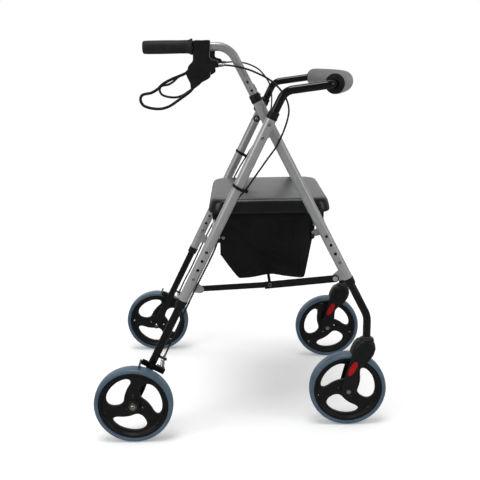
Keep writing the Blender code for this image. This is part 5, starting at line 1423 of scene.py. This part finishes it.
# Foam's end discs, cut rubber: near black
disc_rubber, tree, shader, place = start_finish("black_end_rubber", ior=1.45)
mottled(tree, shader, place, ("0F0F0F", "181818"), 0.012, (0.60, 0.75), 0.0009, 0.00008)
for name, side in SIDES.items():
    ends = bow_points(PAD_HALF, 120)
    if side < 0:
        ends.reverse()
    way = (ends[0] - ends[3]).normalized()
    centre = ends[0] - way * inset
    r = PAD_RADIUS - 0.0012
    disc = [(0.0, 0.0002), (r, 0.0002), (r + 0.0004, 0.0010), (r, 0.0026)]
    disc += [(r - 0.0018, inset - 0.0002), (0.0, inset)]
    mesh = turned(disc, "Z", 64)
    mesh.transform(Matrix.Translation(centre) @ way.to_track_quat("Z", "Y").to_matrix().to_4x4())
    mesh = worked(mesh, [], [swept(bar_path, BORE_RADIUS + GAP, 28)])
    fitted(f"foam_end_{name}", mesh, disc_rubber, "rear_frame", "foam")


# Seat. A moulded black board that clips round the front cross tube and rests on the rear one,
# under a firm pad covered in black vinyl with a fine leather grain.
SEAT_REAR = -0.080
SEAT_FRONT = 0.232
SEAT_HALF = 0.180
SEAT_CORNER = 0.040
BOARD_Z = 0.5695
BRACKET_Y = 0.128

# Vinyl: black with a satin surface and a leather grain, drawn at 2.2 mm
seat_vinyl, tree, shader, place = start_finish("black_seat_vinyl", ior=1.52)
bump = mottled(tree, shader, place, ("0F1011", "151617"), 0.060, (0.27, 0.34), 0.0030, 0.00008)
grain = add(
    tree, "ShaderNodeTexVoronoi", {"feature": "DISTANCE_TO_EDGE"}, {"Vector": place, "Scale": 450.0}
)
over_bump(tree, shader, bump, grain.outputs["Distance"], 0.35, 0.0002)


def seat_outline(inset):
    """The seat's rounded outline from above, drawn in by inset, in steps of 12 mm at most."""
    corner = SEAT_CORNER - inset * 0.5
    rear, front = SEAT_REAR + inset + corner, SEAT_FRONT - inset - corner
    half = SEAT_HALF - inset - corner
    points = []
    for centre, start in (
        ((front, half), 0), ((rear, half), 90), ((rear, -half), 180), ((front, -half), 270)
    ):
        points += arc(centre, corner, start, start + 90, 12)
    dense = []
    for a, b in zip(points, points[1:] + points[:1]):
        length = hypot(b[0] - a[0], b[1] - a[1])
        count = max(1, round(length / 0.012))
        dense += [
            (a[0] + (b[0] - a[0]) * i / count, a[1] + (b[1] - a[1]) * i / count) for i in range(count)
        ]
    return dense


hinge = Vector((FRONT_CROSS.x, 0, FRONT_CROSS.z))
board = plate(seat_outline(0.0080), 0.008, rounding=0.0010, offset=BOARD_Z + 0.004, flat_down=True)
inside = BOARD_Z + 0.004
clip_ring = CROSS_RADIUS + 0.0048
clip = arc((hinge.x, hinge.z), clip_ring, 150, 390, 40)
clip += [(hinge.x + clip_ring * 0.9, inside), (hinge.x - clip_ring * 0.9, inside)]
foot_z = REAR_CROSS.z + CROSS_RADIUS + GAP
foot = [(-0.0085, foot_z), (0.0085, foot_z), (0.0105, inside), (-0.0105, inside)]
foot = [(REAR_CROSS.x + x, z) for x, z in foot]
parts = []
for y in (-BRACKET_Y, BRACKET_Y):
    parts.append(plate(clip, 0.004, [circle((hinge.x, hinge.z), CROSS_RADIUS + 0.0004, 40)], 0.0004, y))
    parts.append(plate(foot, 0.012, rounding=0.0005, offset=y))
fitted("seat_base", worked(board, parts), moulded_black, "seat", "black_plastic", "seat_board")

# Cushion rings: the cover wraps the board's rim, pulls in over the edge and rises to the middle
rings = []
base = BOARD_Z + 0.0083
top = base + 0.0205
centre_x = (SEAT_REAR + SEAT_FRONT) / 2
half_x = (SEAT_FRONT - SEAT_REAR) / 2
for inset_of, height in (
    (0.0077, base), (0.0074, base - 0.0080), (0.0066, 0.5626), (0.0050, 0.5609), (0.0030, 0.5604),
    (0.0012, 0.5612), (0.0002, 0.5630), (0.0000, 0.5658), (0.0005, 0.5700), (0.0016, 0.5760),
    (0.0030, 0.5820), (0.0046, 0.5872), (0.0064, 0.5910), (0.0087, 0.5937), (0.0115, 0.5954),
    (0.0150, 0.5963), (0.0200, 0.5968), (0.0280, 0.5971), (0.0380, 0.5974), (0.0520, 0.5976),
    (0.0700, 0.5979), (0.0900, 0.5981), (0.1150, top),
):
    share_x, share_y = (half_x - inset_of) / half_x, (SEAT_HALF - inset_of) / SEAT_HALF
    outline = seat_outline(0.0)
    rings.append([(centre_x + (x - centre_x) * share_x, y * share_y, height) for x, y in outline])
cushion = loft(rings)
for vertex in cushion.vertices:
    x, y, z = vertex.co
    if z > 0.5945:
        ripple = noise.noise(Vector((x * 22, y * 22, 3.1)))
        ripple += 0.5 * noise.noise(Vector((x * 55, y * 55, 7.7)))
        vertex.co.z += 0.00035 * ripple
cushion = fitted("seat_pad", cushion, seat_vinyl, "seat", "vinyl", "seat_cushion")


# Bag. Black woven nylon, sewn with a bound hem and side seams, hung between the cross tubes by
# two straps with press studs. It hangs slack, lifted a little by the pull rod beneath.
BAG_HALF = 0.170
BAG_TOP = BOARD_Z - 0.0045

# Oxford weave: threads are 0.5 mm, drawn at 3 mm so that they show
bag_nylon, tree, shader, place = start_finish("black_oxford_nylon", ior=1.50)
shader.inputs["Specular IOR Level"].default_value = 0.30
bump = mottled(tree, shader, place, ("0B0B0C", "121213"), 0.060, (0.40, 0.52), 0.0025, 0.00008)
threads = {"Vector": place, "Scale": 105.0, "Distortion": 0.3}
weave = [add(tree, "ShaderNodeTexWave", {"bands_direction": way}, threads).outputs["Fac"] for way in "XZ"]
cross = add(tree, "ShaderNodeMath", {"operation": "MAXIMUM"}, {0: weave[0], 1: weave[1]})
over_bump(tree, shader, bump, cross.outputs[0], 0.4, 0.00015)

left_x = REAR_CROSS.x + CROSS_RADIUS + GAP
right_x = FRONT_CROSS.x - CROSS_RADIUS - 0.0051
BAG_OUTLINE = [
    (left_x, BAG_TOP), (left_x, 0.5100), (left_x + 0.0004, 0.4490), (-0.0470, 0.4440), (-0.0310, 0.4200),
    (-0.0110, 0.3930), (-0.0055, 0.3870), (-0.0020, 0.3855), (0.0150, 0.3862), (0.0336, 0.3880),
    (0.0560, 0.3925), (0.0730, 0.3958), (0.0860, 0.3955), (0.1174, 0.3895), (0.1407, 0.3862),
    (0.1616, 0.3842), (0.1665, 0.3862), (0.1690, 0.3950), (0.1786, 0.4416), (0.1874, 0.4869),
    (right_x, 0.5270), (right_x, BAG_TOP), (0.1200, BAG_TOP), (0.0400, BAG_TOP),
]
BAG_STEPS = 240
BAG_RINGS = 44
BAND_ROWS = 36


def fold(x, z, start, end, width, depth):
    """A crease along a line, sharp on one flank and soft on the other, deepest at its middle."""
    ax, az = start
    bx, bz = end
    dx, dz = bx - ax, bz - az
    length = hypot(dx, dz)
    t = ((x - ax) * dx + (z - az) * dz) / length**2
    off = ((x - ax) * dz - (z - az) * dx) / length + 0.10 * length * (t - 0.5) ** 2
    along = max(0.0, 1 - (2 * t - 1) ** 2) if 0 < t < 1 else 0.0
    flank = width * (0.55 if off > 0 else 1.5)
    return depth * along * exp(-((off / flank) ** 2))


FOLDS = [
    ((-0.020, 0.552), (0.040, 0.506), 0.0055, 0.0036),
    ((0.084, 0.556), (0.114, 0.500), 0.0045, 0.0034),
    ((0.106, 0.560), (0.148, 0.522), 0.0045, 0.0032),
    ((0.116, 0.480), (0.158, 0.508), 0.0050, 0.0030),
    ((0.060, 0.478), (0.160, 0.424), 0.0065, 0.0052),
    ((0.020, 0.462), (0.118, 0.414), 0.0060, 0.0034),
    ((0.058, 0.430), (0.152, 0.404), 0.0055, 0.0042),
    ((0.004, 0.396), (0.052, 0.424), 0.0050, 0.0034),
    ((-0.046, 0.500), (-0.010, 0.440), 0.0060, 0.0036),
    ((-0.030, 0.450), (0.024, 0.402), 0.0055, 0.0036),
    ((0.030, 0.548), (0.052, 0.470), 0.0080, -0.0030),
    ((-0.034, 0.545), (0.030, 0.470), 0.0090, -0.0034),
    ((0.130, 0.548), (0.150, 0.450), 0.0070, -0.0028),
    ((0.080, 0.520), (0.150, 0.462), 0.0080, -0.0034),
]
ring_points = even_steps(BAG_OUTLINE + BAG_OUTLINE[:1], BAG_STEPS)[:-1]
BAG_MIDDLE = (0.066, 0.478)
SEAM_TOP = (0.1600, 0.565)
SEAM_FOOT = (0.1535, 0.385)
HEM_Z = 0.5405


def bag_out(x, z, share, side):
    """How far the side panel stands out, with its folds, its hem and its sewn front seam."""
    puff = 0.0035 * (1 - share) - 0.0030 * share**6
    crease = sum(fold(x, z, *f) for f in FOLDS)
    rough = 0.0010 * noise.noise(Vector((x * 38, side * 3, z * 38)))
    rough += 0.0018 * noise.noise(Vector((x * 14, side * 5, z * 14)))
    up = (z - SEAM_FOOT[1]) / (SEAM_TOP[1] - SEAM_FOOT[1])
    seam_x = SEAM_FOOT[0] + (SEAM_TOP[0] - SEAM_FOOT[0]) * up
    turn = min(1.0, max(0.0, (x - seam_x) / 0.026))
    piping = 0.0013 * exp(-(((x - seam_x) / 0.0016) ** 2))
    hem = 0.0005 if z > HEM_Z else 0.0
    groove = 0.0004 * exp(-(((z - HEM_Z + 0.0005) / 0.0013) ** 2))
    fade = (1 - share**8) * (0.35 if z > 0.535 else 1.0)
    out = BAG_HALF - 0.0045 + puff + (crease + rough) * fade + piping + hem - groove
    return side * (out - 0.0120 * turn**1.4)


def joined_rows(work, rows):
    """Faces between closed rows of as many points."""
    for a, b in zip(rows, rows[1:]):
        for i in range(BAG_STEPS):
            j = (i + 1) % BAG_STEPS
            work.faces.new((a[i], a[j], b[j], b[i]))


work = bmesh.new()
sheets = []
for side in (-1, 1):
    shells = []
    for i in range(BAG_RINGS):
        share = 1 - i / BAG_RINGS
        row = []
        for x, z in ring_points:
            px = BAG_MIDDLE[0] + (x - BAG_MIDDLE[0]) * share
            pz = BAG_MIDDLE[1] + (z - BAG_MIDDLE[1]) * share
            row.append(work.verts.new((px, bag_out(px, pz, share, side), pz)))
        shells.append(row)
    joined_rows(work, shells)
    hub = work.verts.new((BAG_MIDDLE[0], bag_out(*BAG_MIDDLE, 0, side), BAG_MIDDLE[1]))
    for i in range(BAG_STEPS):
        work.faces.new((shells[-1][i], shells[-1][(i + 1) % BAG_STEPS], hub))
    sheets.append(shells[0])
band = [sheets[0]]
for k in range(1, BAND_ROWS):
    share = k / BAND_ROWS
    row = []
    for i, (x, z) in enumerate(ring_points):
        low = sheets[0][i].co
        high = sheets[1][i].co
        y = low.y + (high.y - low.y) * share
        dx, dz = x - BAG_MIDDLE[0], z - BAG_MIDDLE[1]
        length = hypot(dx, dz)
        wave = 0.0022 * noise.noise(Vector((x * 26, y * 22, z * 26)))
        pull = 0.0045 * sin(pi * share) * (1 if z < 0.55 else 0)
        inward = pull - wave * sin(pi * share) ** 0.5
        lift = inward * (0 if z > 0.56 else 0.5)
        row.append(work.verts.new((x - dx / length * inward * 0.6, y, z - dz / length * lift)))
    band.append(row)
band.append(sheets[1])
joined_rows(work, band)
bag = fitted("bag_cloth", tidy(work), bag_nylon, None, "nylon")
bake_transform(bag)
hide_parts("bag")


# Straps and press studs. A nylon strap from each cross tube is sewn down the bag's edge and
# closed there by a bright steel stud.
for name, side in SIDES.items():
    face = side * (BAG_HALF - 0.0062)
    strap = block((-0.0490, 0, 0.4845), (-0.0370, side * 0.0016, 0.5360))
    strap = worked(strap, rounding=0.0005)
    fitted(f"bag_strap_rear_{name}", moved(strap, shift(0, face, 0)), bag_nylon, "rear_frame", "nylon")
    stud = [(0.0, 0.0), (0.0050, 0.0), (0.0051, 0.0008), (0.0044, 0.0020), (0.0026, 0.0027), (0.0, 0.0029)]
    dome = turned(sided(stud, side), "Y", 32)
    dome.transform(shift(-0.0429, face + side * 0.0015, 0.4958))
    fitted(f"press_stud_rear_{name}", dome, zinc_plate, "rear_frame", "steel")
    tilt = Matrix.Rotation(side * radians(52), 4, "Z")
    for tag, x, z, size in (("front", 0.1886, 0.5030, 1.25), ("top", 0.1908, 0.5238, 0.85)):
        dome = turned([(r * size, side * h * 1.4) for r, h in stud], "Y", 32)
        dome.transform(shift(x, side * (BAG_HALF - 0.0215), z) @ tilt.inverted())
        fitted(f"press_stud_{tag}_{name}", dome, zinc_plate, "front_frame", "steel")
    strap = worked(block((-0.0075, -0.0008, -0.0170), (0.0075, 0.0008, 0.0420)), rounding=0.0005)
    strap.transform(shift(0.1890, side * (BAG_HALF - 0.0218), 0.5020) @ tilt.inverted())
    fitted(f"bag_strap_front_{name}", strap, bag_nylon, "front_frame", "nylon")


# Brake cables. A steel wire in a black plastic sheath, 4.4 mm across, that arcs over the pivot
# and runs down the rear leg to the cable stop, tied to the leg by a black tie.
CABLE_RADIUS = 0.0022

cable_sheath, tree, shader, place = start_finish("black_cable_sheath", ior=1.50)
mottled(tree, shader, place, ("0C0C0D", "131314"), 0.040, (0.28, 0.36), 0.0015, 0.00002)

# Points by side, in metres: the arc's as (x, out from the middle, z) and those down the rear leg as
# (down from the pivot, x, y) in the leg's own frame
CABLE_ARC = {
    -1: [
        (-0.0309, 0.2330, 0.9290), (-0.0130, 0.2372, 0.9272), (0.0060, 0.2388, 0.9236),
        (0.0230, 0.2392, 0.9188), (0.0405, 0.2395, 0.9120), (0.0637, 0.2400, 0.9007),
        (0.0799, 0.2402, 0.8902), (0.0945, 0.2400, 0.8770), (0.1070, 0.2398, 0.8610),
        (0.1155, 0.2400, 0.8450), (0.1195, 0.2405, 0.8270), (0.1180, 0.2408, 0.8080),
        (0.1103, 0.2408, 0.7820), (0.0984, 0.2410, 0.7539), (0.0865, 0.2410, 0.7326),
        (0.0672, 0.2408, 0.7066), (0.0365, 0.2404, 0.6635),
    ],
    1: [
        (-0.0309, 0.2330, 0.9290), (-0.0130, 0.2372, 0.9300), (0.0060, 0.2388, 0.9290),
        (0.0260, 0.2392, 0.9250), (0.0450, 0.2395, 0.9180), (0.0640, 0.2400, 0.9070),
        (0.0799, 0.2402, 0.8900), (0.0905, 0.2400, 0.8750), (0.0975, 0.2398, 0.8590),
        (0.1010, 0.2400, 0.8400), (0.1022, 0.2405, 0.8180), (0.1010, 0.2408, 0.7980),
        (0.0960, 0.2408, 0.7760), (0.0880, 0.2410, 0.7520), (0.0770, 0.2415, 0.7300),
        (0.0600, 0.2430, 0.7030), (0.0380, 0.2465, 0.6700), (0.0180, 0.2510, 0.6380),
        (0.0000, 0.2565, 0.6080),
    ],
}
DOWN_LEG = {
    -1: [
        (0.1665, 0.0212, -0.0150), (0.1900, 0.0140, -0.0154), (0.2150, 0.0095, -0.0156),
        (0.2500, 0.0080, -0.0156), (0.2850, 0.0100, -0.0148), (0.3100, 0.0138, -0.0103),
        (0.3350, 0.0162, -0.0030), (0.3700, 0.0160, 0.0040), (0.4400, 0.0150, 0.0080),
        (0.5000, 0.0160, 0.0080), (0.5600, 0.0175, 0.0075),
    ],
    1: [
        (0.2700, 0.0175, 0.0062), (0.3200, 0.0200, 0.0070), (0.3800, 0.0208, 0.0075),
        (0.4400, 0.0196, 0.0080), (0.5000, 0.0198, 0.0080), (0.5500, 0.0208, 0.0076),
    ],
}
TO_THE_STOP = [(0.600, 0.0192, 0.0074), (CABLE_STOP_DOWN - 0.0142, 0.0200, CABLE_OUT)]
# The route's own point where the upper stretch ends, and how far down the leg the middle one ends
FIRST_CUT = 6
SECOND_CUT_DOWN = 0.2700
TIE_POINTS = 72
TIE_SLANT = 0.10
TIE_DOWN = {-1: 0.1665, 1: 0.1480}


for name, side in SIDES.items():
    leg = leg_place(REAR_TILT, side * REAR_LEG_Y)
    route = [Vector((x, side * y, z)) for x, y, z in CABLE_ARC[side]]
    route += [leg @ Vector((x, side * y, -down)) for down, x, y in DOWN_LEG[side] + TO_THE_STOP]
    path = smooth_route(route, 241)
    first_cut = min(range(241), key=lambda i: (path[i] - route[FIRST_CUT]).length)
    second_cut = min(range(241), key=lambda i: abs((leg.inverted() @ path[i]).z + SECOND_CUT_DOWN))
    parts = (
        ("upper", path[: first_cut + 1], f"handle_{name}", "front_frame"),
        ("middle", path[first_cut : second_cut + 1], "front_frame", "rear_frame"),
        ("lower", path[second_cut:], "rear_frame", f"rear_lower_{name}"),
    )
    for tag, part, body_a, body_b in parts:
        mesh = swept(part, CABLE_RADIUS, 20)
        piece = fitted(f"cable_{tag}_{name}", mesh, cable_sheath, None, "cable_sheath")
        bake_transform(piece)
        if tag == "upper":
            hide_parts(f"brake_cable_{name}")
    stop = leg @ Vector((0.0200, side * CABLE_OUT, -CABLE_STOP_DOWN + 0.0140))
    end = on_rocker(side, NIPPLE_AHEAD, 0.0100)
    wire = swept([stop, stop.lerp(end, 0.5), end], 0.0008, 12)
    wire = fitted(f"cable_wire_{name}", wire, zinc_plate, None, "steel")
    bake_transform(wire)
    down = TIE_DOWN[side]
    cable_spot = min(path, key=lambda p: ((leg.inverted() @ p).z + down) ** 2)
    offset = leg.inverted() @ cable_spot
    heading = atan2(offset.y, offset.x)
    # The tie lies on the leg and bulges out round the cable
    hull = []
    for i in range(TIE_POINTS):
        a = 2 * pi * i / TIE_POINTS
        around_cable = offset.x * cos(a) + offset.y * sin(a) + CABLE_RADIUS + 0.0011
        hull.append((a, max(TUBE_RADIUS + 0.0011, around_cable)))
    rings = []
    half = [(-0.0009, -0.0036), (0.0006, -0.0036), (0.0010, -0.0026)]
    section = half + [(u, -v) for u, v in reversed(half)]
    for i, (a, r) in enumerate(hull):
        slope = (hull[(i + 1) % TIE_POINTS][1] - hull[i - 1][1]) / (4 * pi / TIE_POINTS)
        normal = Vector((cos(a), sin(a), 0))
        x, y = r * cos(a) - slope * sin(a), r * sin(a) + slope * cos(a)
        centre = Vector((x, y, -down - TIE_SLANT * (x + TUBE_RADIUS)))
        rings.append([centre + normal * u + Vector((0, 0, v)) for u, v in section])
    tie = loft(rings, True)
    lug_at = Vector((cos(heading), sin(heading), 0)) * (hypot(offset.x, offset.y) + CABLE_RADIUS + 0.0022)
    lug_at.z = -down - TIE_SLANT * (lug_at.x + TUBE_RADIUS)
    half = Vector((0.0033, 0.0034, 0.0046))
    lug = worked(block(lug_at - half, lug_at + half), rounding=0.0008)
    fitted(f"cable_tie_{name}", moved(tie, leg), moulded_black, "rear_frame", "black_plastic")
    fitted(f"cable_tie_head_{name}", moved(lug, leg), moulded_black, "rear_frame", "black_plastic")


# Studio. A pale floor and a white backdrop in a plain room, soft light from above and both
# sides, and the camera at the photograph's height and angle.
floor_paint, tree, shader, place = start_finish("pale_floor", roughness=0.9)
seen = add(tree, "ShaderNodeLightPath")
cloud = add(tree, "ShaderNodeTexNoise", None, {"Vector": place, "Scale": 0.6})
tone = add(tree, "ShaderNodeValToRGB", None, {0: cloud.outputs["Fac"]})
tone.color_ramp.elements[0].color = linear("F2F2F2")
tone.color_ramp.elements[1].color = linear("F5F5F5")
tree.links.new(tone.outputs["Color"], shader.inputs["Base Color"])
shader.inputs["Specular IOR Level"].default_value = 0.0
level = add(tree, "ShaderNodeMath", {"operation": "MULTIPLY"}, {0: seen.outputs["Is Camera Ray"], 1: 0.21})
glow = add(tree, "ShaderNodeEmission", None, {"Color": (1, 1, 1, 1), "Strength": level.outputs[0]})
both = add(tree, "ShaderNodeAddShader", None, {0: shader.outputs[0], 1: glow.outputs[0]})
dim = add(tree, "ShaderNodeEmission", None, {"Color": (1, 1, 1, 1), "Strength": 0.22})
dimmed = add(
    tree, "ShaderNodeMixShader", None,
    {0: seen.outputs["Is Glossy Ray"], 1: both.outputs[0], 2: dim.outputs[0]},
)
tree.links.new(dimmed.outputs[0], tree.nodes["Material Output"].inputs["Surface"])
work = bmesh.new()
bmesh.ops.create_grid(work, x_segments=1, y_segments=1, size=14)
floor = bpy.data.objects.new("floor", tidy(work))
floor.data.materials.append(floor_paint)
bpy.context.scene.collection.objects.link(floor)

# The room is white to the camera, even for diffuse light, and in reflections it is bright behind
# the object and dim in front, as beside a lit backdrop
world = bpy.data.worlds.new("studio_air")
bpy.context.scene.world = world
world.use_nodes = True
tree = world.node_tree
seen = add(tree, "ShaderNodeLightPath")
heading = add(
    tree, "ShaderNodeSeparateXYZ", None, {0: add(tree, "ShaderNodeTexCoord").outputs["Generated"]}
)
behind = add(
    tree,
    "ShaderNodeMapRange",
    None,
    {0: heading.outputs["Y"], "From Min": 0.20, "From Max": 0.90, "To Min": 0.12, "To Max": 0.85},
)
glossy = add(
    tree, "ShaderNodeMath", {"operation": "MAXIMUM"},
    {0: seen.outputs["Is Glossy Ray"], 1: seen.outputs["Is Transmission Ray"]},
)
other = add(
    tree, "ShaderNodeMix", {"data_type": "FLOAT"},
    {"Factor": glossy.outputs[0], "A": 0.50, "B": behind.outputs["Result"]},
)
level = add(
    tree, "ShaderNodeMix", {"data_type": "FLOAT"},
    {"Factor": seen.outputs["Is Camera Ray"], "A": other.outputs["Result"], "B": 1.0},
)
background = tree.nodes["Background"]
background.inputs["Color"].default_value = (1, 1, 1, 1)
tree.links.new(level.outputs["Result"], background.inputs["Strength"])


def soft_lamp(name, place_of, aim, size, power):
    data = bpy.data.lights.new(name, "AREA")
    data.shape = "RECTANGLE"
    data.size, data.size_y = size
    data.energy = power
    made = bpy.data.objects.new(name, data)
    made.location = place_of
    made.rotation_euler = (Vector(aim) - Vector(place_of)).to_track_quat("-Z", "Y").to_euler()
    bpy.context.scene.collection.objects.link(made)


soft_lamp("key_light", (-2.3, -1.7, 1.9), (0.0, 0.0, 0.5), (0.9, 1.6), 16)
soft_lamp("fill_light", (2.6, -1.2, 1.5), (0.0, 0.0, 0.5), (0.8, 1.5), 8)
data = bpy.data.lights.new("overhead_light", "SUN")
data.energy = 1.35
data.angle = radians(28)
overhead = bpy.data.objects.new("overhead_light", data)
overhead.rotation_euler = (radians(6), radians(-4), 0)
bpy.context.scene.collection.objects.link(overhead)

# The camera solved from the photograph: its place in metres, its turns in radians, and its focal
# length and the picture's side in pixels
EYE = (-0.0035, -1.9807, 0.9586)
PITCH, YAW, ROLL = 0.253, 0.0018, -0.0155
FOCAL = 728.3147
PHOTO_SIDE = 480
ahead = Vector((sin(YAW) * cos(PITCH), cos(YAW) * cos(PITCH), -sin(PITCH)))
right = Vector((cos(YAW), -sin(YAW), 0))
up = right.cross(ahead)
across = right * cos(ROLL) + up * sin(ROLL)
upward = up * cos(ROLL) - right * sin(ROLL)
data = bpy.data.cameras.new("photo_view")
data.sensor_width = 36.0
data.lens = data.sensor_width * FOCAL / PHOTO_SIDE
camera = bpy.data.objects.new("photo_view", data)
turn = Matrix((across, upward, -ahead)).transposed().to_4x4()
camera.matrix_world = Matrix.Translation(EYE) @ turn
bpy.context.scene.collection.objects.link(camera)
bpy.context.scene.camera = camera
bpy.context.scene.view_settings.view_transform = "Standard"
